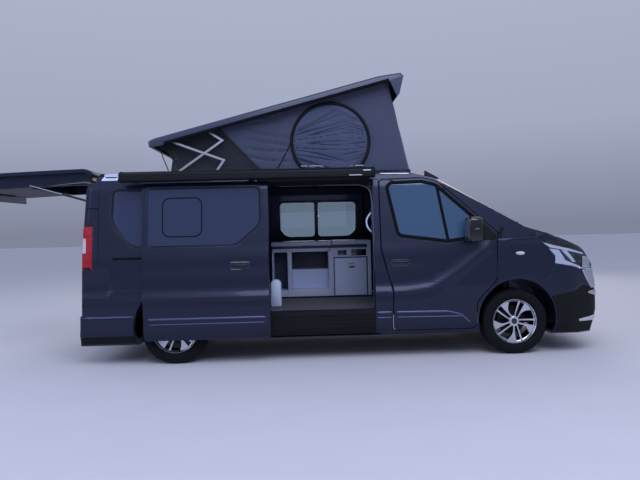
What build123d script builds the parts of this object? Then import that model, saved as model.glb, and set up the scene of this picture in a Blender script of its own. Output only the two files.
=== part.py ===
from build123d import *
import math
import os

# Camper van with a raised sleeping roof, an open sliding door and an open tailgate.
# Sizes are in millimetres. X runs forward, Y to the left and Z up from the ground.
# While it is built, X is counted from the rear axle; at the end the whole van is moved
# along X so that the origin is under the middle of its bounding box.

# Main sizes
wheelbase = 3498
front_overhang = 1014
rear_overhang = 968
half_width = 978
roof_height = 1965
body_bottom = 200
sill_bottom = 240
floor_top = 500
floor_thick = 60
side_top = 1870
front_end = wheelbase + front_overhang
nose_centre_x = 1200

# Wall thicknesses and clearances
wall = 60
door_skin = 30
rebate = 15
roof_wall = 50
door_gap = 8
seat_gap = 0.3
glass_depth = 3
glass_thick = 5

# Wheels and tyres
tyre_radius = 338
tyre_width = 215
rim_radius = 229
rim_width = 190
front_track = 1615
rear_track = 1628
arch_radius = 405
arch_lift = 40
spoke_pairs = 5

# Pop-up roof, raised
roof_angle = 14.6
shell_anchor_x = -40
shell_anchor_z = 2275
shell_closed_x = 100
shell_closed_z = 1975
shell_half = 740
shell_skin = 25
canvas_half = 650
canvas_wall = 8
bar_thick = 5
bar_height = 22
bar_pitch = 10.5
bar_lane = 664
bar_pin_radius = 5
bar_ear_thick = 4.4
bar_ear_half = 18

# Side door, shown slid open
slide_travel_x = -1130
slide_travel_y = -78
slide_front_x = 2110
slide_rear_x = 845
rail_rear_x = -560
rail_low_z = 1078
rail_high_z = 1094
rail_depth = 12

# Front doors
door_rear_x = 2122
door_front_x = 3305
door_bottom = 290
hinge_inset_x = 35
hinge_low_y = 971.5
hinge_low_z = 720
hinge_top_y = 892.4
hinge_top_z = 1800
hinge_half_height = 12
hinge_knuckle = 6
hinge_pin = 3.5
hinge_leaf_x = 3340
hinge_leaf_y = 777
door_swing = 65

# Tailgate, shown open
gate_hinge_x = -775
gate_hinge_z = 1945
gate_angle = 85
gate_half = 772
gate_bottom = 508
gate_thick = 150
gate_skin = 35
gate_inner_half = 700

# Gas struts of the tailgate, at rest
strut_foot_x = -790
strut_foot_z = 1654
strut_eye_x = -1500
strut_eye_z = 1865
strut_y = 735
strut_radius = 11
strut_rod_radius = 5
strut_tube_length = 390
strut_rod_length = 350
strut_pin_radius = 8

# Tailgate hinges: distance from the middle, knuckle width and radius
gate_hinge_y = 550
gate_knuckle_width = 20
gate_knuckle_radius = 10

# Bonnet
bonnet_hinge_x = 3815
bonnet_hinge_z = 1300
bonnet_swing = 55


def ring(points, place):
    """Closes a face round corners (a, b, radius); place turns (a, b) into a point."""
    count = len(points)
    corners = []
    for index, (a, b, radius) in enumerate(points):
        before = points[index - 1]
        after = points[(index + 1) % count]
        ua, ub = before[0] - a, before[1] - b
        va, vb = after[0] - a, after[1] - b
        length_u, length_v = math.hypot(ua, ub), math.hypot(va, vb)
        ua, ub, va, vb = ua / length_u, ub / length_u, va / length_v, vb / length_v
        if radius <= 0:
            corners.append(((a, b), None, (a, b)))
            continue
        turn = math.acos(max(-1, min(1, ua * va + ub * vb)))
        reach = radius / math.tan(turn / 2)
        away = radius / math.sin(turn / 2) - radius
        ma, mb = ua + va, ub + vb
        length_m = math.hypot(ma, mb)
        start = (a + ua * reach, b + ub * reach)
        middle = (a + ma / length_m * away, b + mb / length_m * away)
        end = (a + va * reach, b + vb * reach)
        corners.append((start, middle, end))
    edges = []
    for index, (start, middle, end) in enumerate(corners):
        if middle is not None:
            edges.append(ThreePointArc(place(*start), place(*middle), place(*end)))
        following = corners[(index + 1) % count][0]
        edges.append(Line(place(*end), place(*following)))
    return Face(Wire(edges))


def inset(points, distance):
    """Moves every side of a counter-clockwise outline inwards, and shrinks its radii."""
    if distance == 0:
        return points
    count = len(points)
    moved = []
    for index, (a, b, radius) in enumerate(points):
        before = points[index - 1]
        after = points[(index + 1) % count]
        ua, ub = a - before[0], b - before[1]
        va, vb = after[0] - a, after[1] - b
        length_u, length_v = math.hypot(ua, ub), math.hypot(va, vb)
        nua, nub = -ub / length_u, ua / length_u
        nva, nvb = -vb / length_v, va / length_v
        cross = (ua * vb - ub * va) / (length_u * length_v)
        shrink = distance if cross > 0 else -distance
        scale = distance / (1 + nua * nva + nub * nvb)
        moved.append((a + (nua + nva) * scale, b + (nub + nvb) * scale, max(radius - shrink, 0)))
    return moved


def side_prism(points, y0, y1):
    """Extrudes an outline drawn in X and Z from y0 to y1."""
    low, high = min(y0, y1), max(y0, y1)
    face = ring(points, lambda a, b: (a, low, b))
    return Solid.extrude(face, Vector(0, high - low, 0))


def front_prism(points, x0, x1):
    """Extrudes an outline drawn in Y and Z from x0 to x1."""
    face = ring(points, lambda a, b: (x0, a, b))
    return Solid.extrude(face, Vector(x1 - x0, 0, 0))


def plan_prism(points, z0, z1):
    """Extrudes an outline drawn in X and Y from z0 to z1."""
    face = ring(points, lambda a, b: (a, b, z0))
    return Solid.extrude(face, Vector(0, 0, z1 - z0))


def block(x0, x1, y0, y1, z0, z1):
    """A box between two corners."""
    low_y = min(y0, y1)
    return Solid.make_box(x1 - x0, abs(y1 - y0), z1 - z0, Plane((x0, low_y, z0)))


def rod(x, y0, y1, z, radius):
    """A cylinder along Y."""
    low = min(y0, y1)
    return Solid.make_cylinder(radius, abs(y1 - y0), Plane((x, low, z), z_dir=(0, 1, 0)))


def mirrored(shape):
    """The same shape on the other side of the van."""
    return shape.mirror(Plane.XZ)


def both(shape):
    """A shape and its twin on the other side, as one group."""
    return Compound([*shape.solids(), *mirrored(shape).solids()])


# The body's outer surface is where four shapes overlap: a cross-section drawn along X,
# a side profile drawn across Y, a nose turned about a vertical line, and a plan outline.
# Each table gives corners and their radii; the body at a depth is the same four, inset.

# Right-hand half of the cross-section: y, z, radius
half_section = [
    (900, body_bottom, 40),
    (958, 330, 60),
    (half_width, 720, 500),
    (958, 1150, 500),
    (868, 1800, 200),
    (795, 1945, 110),
]
section = [(-y, z, r) for y, z, r in reversed(half_section)]
section = [(y, z, r) for y, z, r in half_section] + [(0, 1985, 2000)] + section

# Rear side profile: x, z, radius
far_forward = 6000
rear_profile = [
    (far_forward, body_bottom - 100, 0),
    (far_forward, roof_height, 0),
    (1000, roof_height, 4000),
    (-780, 1928, 40),
    (-862, 1830, 160),
    (-905, 1000, 500),
    (-925, 520, 0),
    (-rear_overhang, 500, 20),
    (-rear_overhang + 20, body_bottom - 100, 0),
]

# Nose profile, turned about the upright line at nose_centre_x: x, z, radius
nose_profile = [
    (nose_centre_x, body_bottom - 100, 0),
    (4395, body_bottom - 100, 0),
    (4440, 230, 60),
    (front_end, 420, 120),
    (4508, 640, 150),
    (4445, 930, 120),
    (4350, 1085, 200),
    (4010, 1243, 400),
    (3790, 1312, 60),
    (2915, 1842, 500),
    (2500, roof_height + 5, 500),
    (nose_centre_x, roof_height + 5, 0),
]

# Right-hand half of the plan outline: x, y, radius
half_plan = [
    (-rear_overhang - 5, 960, 120),
    (900, 990, 0),
    (3300, 984, 600),
    (4080, 925, 500),
    (4390, 770, 260),
    (4640, 380, 0),
]
plan = [(x, -y, r) for x, y, r in half_plan] + [(x, y, r) for x, y, r in reversed(half_plan)]


def body_volume(depth):
    """The body's outer form, with its whole surface moved inwards by a depth."""
    cross = front_prism(inset(section, depth), -rear_overhang - 50, front_end + 50)
    side = side_prism(inset(rear_profile, depth), -1200, 1200)
    outline = plan_prism(inset(plan, depth), 0, 2500)
    nose_face = ring(inset(nose_profile, depth), lambda a, b: (a, 0, b))
    axis = Axis((nose_centre_x, 0, 0), (0, 0, 1))
    nose_half = Solid.revolve(nose_face.moved(Location((0, 0, 0))), 180, axis)
    nose_half = nose_half.rotate(axis, -90)
    behind = block(-2000, nose_centre_x + depth + 1, -1200, 1200, 0, 2500)
    return (cross & side & outline) & (nose_half + behind)


outer = body_volume(0)
around_skin = body_volume(-seat_gap)
below_skin = body_volume(door_skin)
inner = body_volume(wall)
glass_top = body_volume(glass_depth)
glass_under = body_volume(glass_depth + glass_thick)
glass_layer = glass_top - glass_under
skin_layer = outer - below_skin
lining_layer = below_skin - inner
wall_layer = outer - inner
print("body layers built")

# Outlines in X and Z, counter-clockwise seen from the left: x, z, radius
door_outline = [
    (door_rear_x + 112, door_bottom, 40),
    (3085, door_bottom, 60),
    (3085, 560, 120),
    (door_front_x, 800, 120),
    (door_front_x, 1165, 60),
    (3322, 1262, 10),
    (2720, 1806, 200),
    (2560, 1848, 200),
    (door_rear_x, 1838, 40),
    (door_rear_x, 1110, 200),
    (door_rear_x + 112, 700, 200),
]
door_window = [
    (2300, 1262, 60),
    (2795, 1192, 120),
    (3268, 1250, 20),
    (2700, 1772, 120),
    (2560, 1808, 80),
    (2192, 1798, 60),
]
slide_outline = [
    (slide_rear_x, 255, 30),
    (slide_front_x, 255, 30),
    (slide_front_x, 1842, 30),
    (slide_rear_x, 1842, 30),
]
opening_outline = [
    (slide_rear_x + 55, floor_top + 20, 60),
    (slide_front_x - 75, floor_top + 20, 60),
    (slide_front_x - 75, 1790, 60),
    (slide_rear_x + 55, 1790, 60),
]
slide_window = [
    (slide_rear_x + 60, 1200, 60),
    (slide_front_x - 330, 1200, 160),
    (slide_front_x - 85, 1400, 160),
    (slide_front_x - 85, 1785, 60),
    (slide_rear_x + 60, 1785, 40),
]
quarter_window = [
    (-430, 1200, 140),
    (slide_rear_x - 95, 1200, 60),
    (slide_rear_x - 95, 1785, 60),
    (-590, 1785, 60),
    (-600, 1480, 120),
]
far_window = [
    (1000, 1215, 60),
    (2050, 1215, 60),
    (2050, 1720, 60),
    (1000, 1720, 60),
]


def wide(points, distance):
    """An outline that is larger on every side."""
    return inset(points, -distance)


# Wheel arches are cylinders across the body
arch_z = tyre_radius + arch_lift
front_arch_x = wheelbase + 12
front_arch = rod(front_arch_x, 0, 1200, arch_z, arch_radius)
rear_arch = rod(0, 0, 1200, arch_z, arch_radius)
arch_inner_y = 500
liner_thick = 6
rear_arch_inner_y = 660
arch_back_x = 3080
arch_front_x = 3940
arch_top_z = 800
well_inner_y = arch_inner_y - liner_thick - seat_gap
front_well = block(arch_back_x, arch_front_x, well_inner_y, 1200, 0, arch_top_z)

# Sides, made on the left and mirrored
side_inner_y = 780
wing_back_x = 3311
side_zone = block(-rear_overhang, wing_back_x, side_inner_y, 1200, sill_bottom, side_top)
bumper_top = 500
bumper_front_x = -375
rear_low = block(-1200, bumper_front_x, 0, 1200, 0, bumper_top + 3)
cab_back_x = 2620
side_base = (wall_layer & side_zone) - rear_arch - front_arch - rear_low
door_hole = side_prism(wide(door_outline, door_gap), 700, 1200)
gate_zone = block(-1200, gate_hinge_x - 5, -gate_half - door_gap, gate_half + door_gap, 400, 2200)
cab_outline = [
    (cab_back_x, 1820, 0),
    (wing_back_x, 1255, 0),
    (4200, 1255, 0),
    (4200, 2300, 0),
    (cab_back_x, 2300, 0),
]
cab_zone = side_prism(cab_outline, 0, 1200)

# Tail lamps wrap round the rear corners
lamp_low = 985
lamp_high = 1420
lamp_front_x = -800
lamp_zone = block(-1200, lamp_front_x, gate_half + door_gap + 2, 1200, lamp_low, lamp_high)
lamp_layer = outer - body_volume(40)
rear_lamp = (lamp_layer & lamp_zone)
lamp_hole_z = (lamp_low - seat_gap, lamp_high + seat_gap)
lamp_hole = block(-1200, lamp_front_x + seat_gap, gate_half, 1200, *lamp_hole_z)
lamp_hole = lamp_hole - body_volume(40 + seat_gap)

quarter_hole = side_prism(quarter_window, 700, 1200)
far_hole = side_prism(far_window, 700, 1200)
side_common = side_base - door_hole - gate_zone - lamp_hole - cab_zone - quarter_hole
strut_pin_tip_y = strut_y + strut_radius + seat_gap
strut_pin = rod(strut_foot_x, strut_pin_tip_y, 830, strut_foot_z, strut_pin_radius)
side_common = side_common + strut_pin
side_left = side_common - far_hole

# The right side has the door opening: a shallow rebate for the panel and a hole through
slide_rebate = side_prism(wide(slide_outline, door_gap), 700, 1200) - body_volume(door_skin + 2)
slide_hole = side_prism(opening_outline, 700, 1200)
rail_groove = block(rail_rear_x, slide_rear_x, 700, 1200, rail_low_z, rail_high_z) - body_volume(rail_depth)
side_right = mirrored(side_common - slide_rebate - slide_hole - rail_groove)
print("sides built")

# Roof: a panel with the large opening under the raised roof, and a gutter at its front
opening_rear_x = 0
opening_front_x = 2475
opening_half = 610
roof_layer = outer - body_volume(roof_wall)
roof_zone = block(gate_hinge_x - 5, cab_back_x, -1200, 1200, side_top, 2300)
roof_opening = block(opening_rear_x, cab_back_x - 12, -opening_half, opening_half, 1700, 2300)
roof_frame = (roof_layer & roof_zone) - roof_opening
gutter_floor = 1795
gutter_front_x = 2564
gutter_half = shell_half + 15
fairing_rear_x = 2640
fairing_front_x = 2790
fairing_top = 1945
fairing_half = 640
coaming = block(opening_front_x, opening_front_x + 15, -canvas_half, canvas_half, gutter_floor, 1950)
gutter = block(opening_front_x, cab_back_x, -gutter_half, gutter_half, gutter_floor - 8, gutter_floor)
gutter_front = [
    (opening_front_x + 15, gutter_floor, 0),
    (gutter_front_x, gutter_floor, 0),
    (fairing_rear_x, fairing_top, 0),
    (fairing_rear_x, 2300, 0),
    (opening_front_x + 15, 2300, 0),
]
gutter_hole = side_prism(gutter_front, -gutter_half, gutter_half)
gutter_slope = (fairing_top - gutter_floor) / (fairing_rear_x - gutter_front_x)
gutter_wall_top = gutter_floor + (cab_back_x - gutter_front_x) * gutter_slope
gutter_wall = side_prism([
    (gutter_front_x - 4, gutter_floor - 8, 0),
    (gutter_front_x + 12, gutter_floor - 8, 0),
    (cab_back_x, gutter_wall_top - 30, 0),
    (cab_back_x, gutter_wall_top, 0),
    (gutter_front_x, gutter_floor, 0),
    (gutter_front_x - 4, gutter_floor, 0),
], -gutter_half, gutter_half)
canvas_bottom = 1957
curb_top = canvas_bottom - seat_gap
curb = block(-70, opening_front_x + 15, -canvas_half, canvas_half, 1935, curb_top)
curb = curb - block(opening_rear_x, opening_front_x, -opening_half, opening_half, 1900, 2000)
roof_frame = (roof_frame - gutter_hole) + coaming + gutter + gutter_wall + curb

# Knuckles of the tailgate hinges on the roof's rear edge
knuckle_start = gate_hinge_y - gate_knuckle_width * 1.5
knuckle_end = knuckle_start + gate_knuckle_width
gate_rest = rod(gate_hinge_x, knuckle_start, knuckle_end, gate_hinge_z, gate_knuckle_radius)
gate_rest_block = block(gate_hinge_x, gate_hinge_x + 40, knuckle_start, knuckle_end, 1895, gate_hinge_z)
gate_rest = gate_rest + gate_rest_block
roof_frame = roof_frame + gate_rest + mirrored(gate_rest)

# Ears that carry the lower ends of the crossed bars
bar_a_foot = (30, 1978)
bar_b_foot = (434, 1978)
for (ear_x, ear_z), ear_y in (
    (bar_a_foot, bar_lane + bar_pitch + bar_thick + seat_gap),
    (bar_b_foot, bar_lane + 3 * bar_pitch + bar_thick + seat_gap),
):
    ear_top = ear_z + bar_height / 2
    low_ear = block(ear_x - bar_ear_half, ear_x + bar_ear_half, ear_y, ear_y + bar_ear_thick, 1935, ear_top)
    roof_frame = roof_frame + low_ear + mirrored(low_ear)
print("roof built")

# Cab frame: the windscreen surround, its pillars and the scuttle below the glass
screen_outline = [
    (-770, 1330, 90),
    (770, 1330, 90),
    (655, 1800, 90),
    (-655, 1800, 90),
]
screen_hole = front_prism(screen_outline, 2640, 4400)
cab_front_x = 3835
cab_layer = outer - body_volume(wall)
cab_half = (cab_layer & cab_zone) - door_hole - block(cab_front_x, 4600, 0, 1200, 0, 2200)
bonnet_rear_z = 1255
fairing = side_prism([
    (fairing_rear_x - 20, fairing_top - 80, 0),
    (fairing_front_x, 1850, 0),
    (fairing_front_x, 1862, 0),
    (fairing_rear_x, fairing_top, 6),
], -fairing_half, fairing_half)
cab_frame = (cab_half + mirrored(cab_half) + fairing) - screen_hole - gutter_hole
bulkhead_x = 3400
bulkhead_thick = 30
scuttle_z = 1235
post_y = 760
bulkhead = block(bulkhead_x, bulkhead_x + bulkhead_thick, -790, 790, 420, bonnet_rear_z)
nose_thick = 35
nose_inside = body_volume(nose_thick + seat_gap)
scuttle = block(bulkhead_x, cab_front_x, -790, 790, scuttle_z, bonnet_rear_z) & nose_inside
bonnet_seal = block(cab_front_x - 10, cab_front_x + 25, -500, 500, scuttle_z, 1500) & nose_inside
door_post = block(3322, bulkhead_x, post_y, 860, arch_top_z, bonnet_rear_z + 15) & nose_inside
leg_radius = 45
leg_y = 590
leg_hole = Solid.make_cylinder(leg_radius + seat_gap, 600, Plane((wheelbase, leg_y, 500)))
liner_radius = arch_radius + liner_thick
liner = rod(front_arch_x, arch_inner_y, 1200, arch_z, liner_radius) - front_arch
liner_wall = rod(front_arch_x, arch_inner_y - liner_thick, arch_inner_y, arch_z, liner_radius)
liner_zone = block(arch_back_x, arch_front_x, 0, 1200, 300, 1200) & body_volume(wall + seat_gap)
liner = (liner + liner_wall) & liner_zone
liner = liner - leg_hole
bulkhead = bulkhead - front_well - mirrored(front_well)
cab_frame = cab_frame + bulkhead + scuttle + bonnet_seal
cab_frame = cab_frame + door_post + mirrored(door_post) + liner + mirrored(liner)
windscreen = glass_layer & front_prism(inset(screen_outline, seat_gap), 2640, 4400)
print("cab built")

# Bonnet, wings, bumper, grille and headlamps
bonnet_plan = [
    (3842, -775, 30),
    (4060, -775, 120),
    (4290, -640, 120),
    (4395, -400, 200),
    (4440, 0, 600),
    (4395, 400, 200),
    (4290, 640, 120),
    (4060, 775, 120),
    (3842, 775, 30),
]
nose_layer = outer - body_volume(nose_thick)
bonnet_low = 985
bonnet_zone = plan_prism(bonnet_plan, bonnet_low, 1500)
bonnet = nose_layer & bonnet_zone
bonnet_hole = plan_prism(wide(bonnet_plan, door_gap), bonnet_low - door_gap, 1600)

wing_outline = [
    (wing_back_x, 300, 0),
    (wing_back_x + 2, 1255, 0),
    (cab_front_x, 1255, 0),
    (cab_front_x, 1600, 0),
    (4000, 1600, 0),
    (3812, 1160, 0),
    (3944, 950, 0),
    (3790, 780, 0),
    (3900, 300, 0),
]
wing_outline = list(reversed(wing_outline))
wing_zone = side_prism(wing_outline, 640, 1200)
wing = (nose_layer & wing_zone) - bonnet_hole - front_arch - door_hole
print("wings built")

lamp_outline = list(reversed([
    (3814, 1158, 0),
    (4300, 1300, 0),
    (4600, 1100, 0),
    (4600, 840, 0),
    (4300, 850, 0),
    (3946, 948, 0),
]))
headlamp_zone = side_prism(lamp_outline, 520, 1200)
headlamp = (nose_layer & headlamp_zone) - bonnet_hole
grille_outline = [
    (-515, 640, 30),
    (515, 640, 30),
    (515, 975, 20),
    (-515, 975, 20),
]
grille_zone = front_prism(grille_outline, 4150, 4700)
grille_layer = body_volume(12) - body_volume(nose_thick)
grille = (grille_layer & grille_zone)
bumper_zone = side_prism(list(reversed([
    (3790 + 2, 780, 0),
    (3946, 946, 0),
    (4300, 848, 0),
    (4600, 838, 0),
    (4600, 100, 0),
    (3860, 100, 0),
    (3900, 300, 0),
])), -1200, 1200)
nose_zone = block(4200, 4700, -520, 520, 500, bonnet_low - door_gap)
front_bumper = (nose_layer & (bumper_zone + nose_zone)) - bonnet_hole - front_arch - mirrored(front_arch)
front_bumper = front_bumper - front_prism(wide(grille_outline, seat_gap), 4150, 4700)
front_bumper = front_bumper - headlamp_zone - mirrored(headlamp_zone)
front_bumper = front_bumper - block(3500, 4700, -1200, 1200, 0, body_bottom + 1)

# Towing sockets: a boss behind a round recess in each bumper, with a threaded hole
socket_hole = 10
socket_boss = 25
socket_length = 60
socket_z = 330
front_socket_x = 4450
front_socket_y = -430
rear_socket_x = -905
rear_socket_y = -500


def along_x(x0, x1, y, z, radius):
    """A cylinder along X."""
    return Solid.make_cylinder(radius, x1 - x0, Plane((x0, y, z), x_dir=(0, 1, 0), z_dir=(1, 0, 0)))


front_boss_x = front_socket_x - socket_length
front_bumper = front_bumper + along_x(front_boss_x, front_socket_x, front_socket_y, socket_z, socket_boss)
front_bumper = front_bumper - along_x(front_socket_x, 4700, front_socket_y, socket_z, socket_boss + 5)
front_bumper = front_bumper - along_x(front_boss_x - 1, 4700, front_socket_y, socket_z, socket_hole)
print("nose built")

# Rear bumper wraps the tail below the tailgate
rear_bumper = wall_layer & block(-1200, bumper_front_x - 1, -1200, 1200, 0, bumper_top)
rear_bumper = rear_bumper - rear_arch - mirrored(rear_arch)
rear_boss_x = rear_socket_x + socket_length
rear_bumper = rear_bumper + along_x(rear_socket_x, rear_boss_x, rear_socket_y, socket_z, socket_boss)
rear_bumper = rear_bumper - along_x(-1100, rear_socket_x, rear_socket_y, socket_z, socket_boss + 5)
rear_bumper = rear_bumper - along_x(-1100, rear_boss_x + 1, rear_socket_y, socket_z, socket_hole)

# Floor, with two chassis rails under it
floor_zone = block(-890, bulkhead_x, -1200, 1200, floor_top - floor_thick, floor_top)
floor_pan = (body_volume(wall + seat_gap) & floor_zone) - front_well - mirrored(front_well)
well = block(-460, 460, rear_arch_inner_y, 1200, 0, 900)
floor_pan = floor_pan - well - mirrored(well)
rail_low = 390
rail_width = 80
rail_inner_y = 390
for rail_y in (-rail_inner_y - rail_width, rail_inner_y):
    rail = block(-860, 4380, rail_y, rail_y + rail_width, rail_low, floor_top - floor_thick)
    floor_pan = floor_pan + rail
floor_pan = floor_pan - bulkhead
well_wall = 8
well_top = 790
well_skin = block(-468, 468, rear_arch_inner_y - well_wall, 895, floor_top, well_top + well_wall)
well_skin = well_skin - block(-460, 460, rear_arch_inner_y, 900, 0, well_top)
floor_pan = floor_pan + well_skin + mirrored(well_skin)
print("floor built")

# Fixed glass of the sides
quarter_pane = glass_layer & side_prism(inset(quarter_window, seat_gap), 700, 1200)
far_pane = glass_layer & side_prism(inset(far_window, seat_gap), 700, 1200)
side_glass = Compound([*both(quarter_pane).solids(), *far_pane.solids()])

# Hinges of the front doors, along a line that leans with the body side
hinge_x = door_front_x - hinge_inset_x
hinge_slope = (hinge_top_y - hinge_low_y) / (hinge_top_z - hinge_low_z)
hinge_heights = (850, 1090)
hinge_notches = []
hinge_pins = []
for hinge_z in hinge_heights:
    hinge_y = hinge_low_y + (hinge_z - hinge_low_z) * hinge_slope
    hinge_plane = Plane((hinge_x, hinge_y, hinge_z), x_dir=(1, 0, 0), z_dir=(0, hinge_slope, 1))
    leaf_half = hinge_half_height - seat_gap
    notch = Box(100, 200, 2 * hinge_half_height, align=(Align.MIN, Align.MAX, Align.CENTER))
    notch = hinge_plane.location * Location((-2 * hinge_knuckle, hinge_knuckle + 2, 0)) * notch
    pin_plane = hinge_plane.offset(-hinge_half_height - 1)
    pin = Solid.make_cylinder(hinge_pin, 2 * hinge_half_height + 2, pin_plane)
    bore_plane = hinge_plane.offset(-1.5 * leaf_half)
    knuckle_bore = Solid.make_cylinder(hinge_pin + seat_gap, 3 * leaf_half, bore_plane)
    leaf = Solid.make_cylinder(hinge_knuckle, 2 * leaf_half, hinge_plane.offset(-leaf_half))
    arm_length = math.hypot(hinge_leaf_x - hinge_x, hinge_leaf_y - hinge_y)
    arm_turn = math.degrees(math.atan2(hinge_leaf_y - hinge_y, hinge_leaf_x - hinge_x))
    arm_align = (Align.MIN, Align.CENTER, Align.CENTER)
    arm = Box(arm_length, 2 * hinge_knuckle - 2, 2 * leaf_half, align=arm_align)
    leaf = leaf + hinge_plane.location * Location((0, 0, 0), (0, 0, arm_turn)) * arm
    leaf = leaf - knuckle_bore
    cab_frame = cab_frame + leaf + mirrored(leaf)
    hinge_notches.append(notch)
    hinge_pins.append(pin)
print("hinges built")

# Sliding door, cut from the same surface as the side and moved back and out
slide_shift = Location((slide_travel_x, slide_travel_y, 0))
slide_panel = skin_layer & side_prism(slide_outline, 700, 1200)
slide_frame = lining_layer & side_prism(inset(opening_outline, door_gap), 700, 1200)
slide_body = slide_panel + slide_frame - side_prism(slide_window, 700, 1200)
sliding_door = mirrored(slide_body).moved(slide_shift)
slide_pane = glass_layer & side_prism(inset(slide_window, seat_gap), 700, 1200)
sliding_door_glass = mirrored(slide_pane).moved(slide_shift)

# The arm that carries the open door's rear end in the rail
roller_x = slide_rear_x + slide_travel_x + 20
roller_arm = block(roller_x, roller_x + 60, 900, half_width + 37, rail_low_z + 1, rail_high_z - 1)
roller_arm = roller_arm - body_volume(rail_depth - seat_gap)
sliding_door = sliding_door + mirrored(roller_arm)
print("sliding door built")

# Front doors: an outer panel and a narrower inner one, with the window cut through both
door_panel = skin_layer & side_prism(door_outline, 700, 1200)
door_inner_y = 770
door_lining = lining_layer & side_prism(inset(door_outline, rebate), door_inner_y, 1200)
door_left = (door_panel + door_lining) - side_prism(door_window, 700, 1200)
for notch, pin in zip(hinge_notches, hinge_pins):
    door_left = door_left - notch + pin
door_left_glass = glass_layer & side_prism(inset(door_window, seat_gap), 700, 1200)
mirror_x = 3000
mirror_z = 1210
mirror_length = 165
mirror_height = 225
mirror_out = 1141
mirror_head = plan_prism([
    (mirror_x - 30, 985, 20),
    (mirror_x + mirror_length - 30, 1000, 60),
    (mirror_x + 90, mirror_out, 60),
    (mirror_x - 20, mirror_out, 20),
], mirror_z, mirror_z + mirror_height)
mirror_arm = block(mirror_x + 20, mirror_x + 90, 930, 1000, mirror_z + 5, mirror_z + 60)
mirror_left = (mirror_head + mirror_arm) - around_skin
door_right = mirrored(door_left)
door_right_glass = mirrored(door_left_glass)
mirror_right = mirrored(mirror_left)
print("front doors built")

# Tailgate, cut from the rear of the body and turned up about its hinge
gate_closed_zone = block(-1200, gate_hinge_x - 15, -gate_half, gate_half, gate_bottom, 1930)
gate_inner_zone = block(-1200, gate_hinge_x + 35, -gate_inner_half, gate_inner_half, gate_bottom + 20, 1860)
gate_skin_layer = outer - body_volume(gate_skin)
gate_inner_layer = body_volume(gate_skin) - body_volume(gate_thick)
gate_window_outline = [
    (-640, 1160, 90),
    (640, 1160, 90),
    (590, 1730, 90),
    (-590, 1730, 90),
]
gate_window_hole = front_prism(gate_window_outline, -1200, -600)
gate_axis = Axis((gate_hinge_x, 0, gate_hinge_z), (0, 1, 0))
gate_closed = (gate_skin_layer & gate_closed_zone) + (gate_inner_layer & gate_inner_zone)
gate_closed = gate_closed - gate_window_hole
gate_leaf_start = knuckle_end + seat_gap
gate_leaf_end = gate_leaf_start + gate_knuckle_width
gate_leaf = rod(gate_hinge_x, gate_leaf_start, gate_leaf_end, gate_hinge_z, gate_knuckle_radius)
for leaf_front_x, leaf_low_z in ((gate_hinge_x, gate_hinge_z - 10), (gate_hinge_x - 12, gate_hinge_z - 60)):
    leaf_y = (gate_leaf_start, gate_leaf_end)
    leaf_block = block(gate_hinge_x - 40, leaf_front_x, *leaf_y, leaf_low_z, gate_hinge_z)
    gate_leaf = gate_leaf + leaf_block
gate_closed = gate_closed + gate_leaf + mirrored(gate_leaf)
tailgate = gate_closed.rotate(gate_axis, gate_angle)
gate_pane = glass_layer & front_prism(inset(gate_window_outline, seat_gap), -1200, gate_hinge_x)
tailgate_glass = gate_pane.rotate(gate_axis, gate_angle)

# Gas struts of the tailgate: tube on the body, rod on the tailgate
strut_length = math.hypot(strut_eye_x - strut_foot_x, strut_eye_z - strut_foot_z)
strut_dx = (strut_eye_x - strut_foot_x) / strut_length
strut_dz = (strut_eye_z - strut_foot_z) / strut_length
strut_foot = (strut_foot_x, strut_y, strut_foot_z)
strut_plane = Plane(strut_foot, x_dir=(0, 1, 0), z_dir=(strut_dx, 0, strut_dz))
strut_tube = Solid.make_cylinder(strut_radius, strut_tube_length, strut_plane)
strut_bore = Solid.make_cylinder(strut_rod_radius + 0.5, strut_tube_length - 12, strut_plane.offset(12))
strut_tube = strut_tube - strut_bore
strut_rod_start = strut_length - strut_rod_length
strut_rod_end = strut_length - strut_pin_radius - seat_gap
rod_plane = strut_plane.offset(strut_rod_start)
strut_rod = Solid.make_cylinder(strut_rod_radius, strut_rod_end - strut_rod_start, rod_plane)
eye_pin = rod(strut_eye_x, gate_inner_half - 10, strut_y + 6, strut_eye_z, strut_pin_radius)
tailgate = tailgate + eye_pin + mirrored(eye_pin)
print("tailgate built")


def tilt(x, z):
    """A point of the roof shell, given in its closed attitude, placed in the raised one."""
    angle = math.radians(roof_angle)
    up_x = shell_anchor_x + x * math.cos(angle) - z * math.sin(angle)
    up_z = shell_anchor_z + x * math.sin(angle) + z * math.cos(angle)
    return up_x, up_z


# Roof shell in its own attitude: x from the anchor, z from its lower edge, radius
shell_profile = [
    (-222, 15, 12),
    (-60, 0, 0),
    (2395, 0, 0),
    (2420, -158, 8),
    (2452, -158, 8),
    (2548, 20, 20),
    (2538, 62, 20),
    (2300, 90, 600),
    (-160, 96, 250),
    (-225, 80, 25),
]
shell_cavity = [
    (-190, -160, 0),
    (2421, -160, 0),
    (2510, 20, 10),
    (2500, 42, 10),
    (2300, 68, 500),
    (-150, 72, 200),
    (-195, 60, 10),
]


def raised(points):
    """Turns an outline of the shell into its raised place."""
    return [(*tilt(x, z), r) for x, z, r in points]


shell_outer = side_prism(raised(shell_profile), -shell_half, shell_half)
shell_inner_half = shell_half - shell_skin
shell_inside = side_prism(raised(shell_cavity), -shell_inner_half, shell_inner_half)
pop_roof_shell = shell_outer - shell_inside

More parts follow.
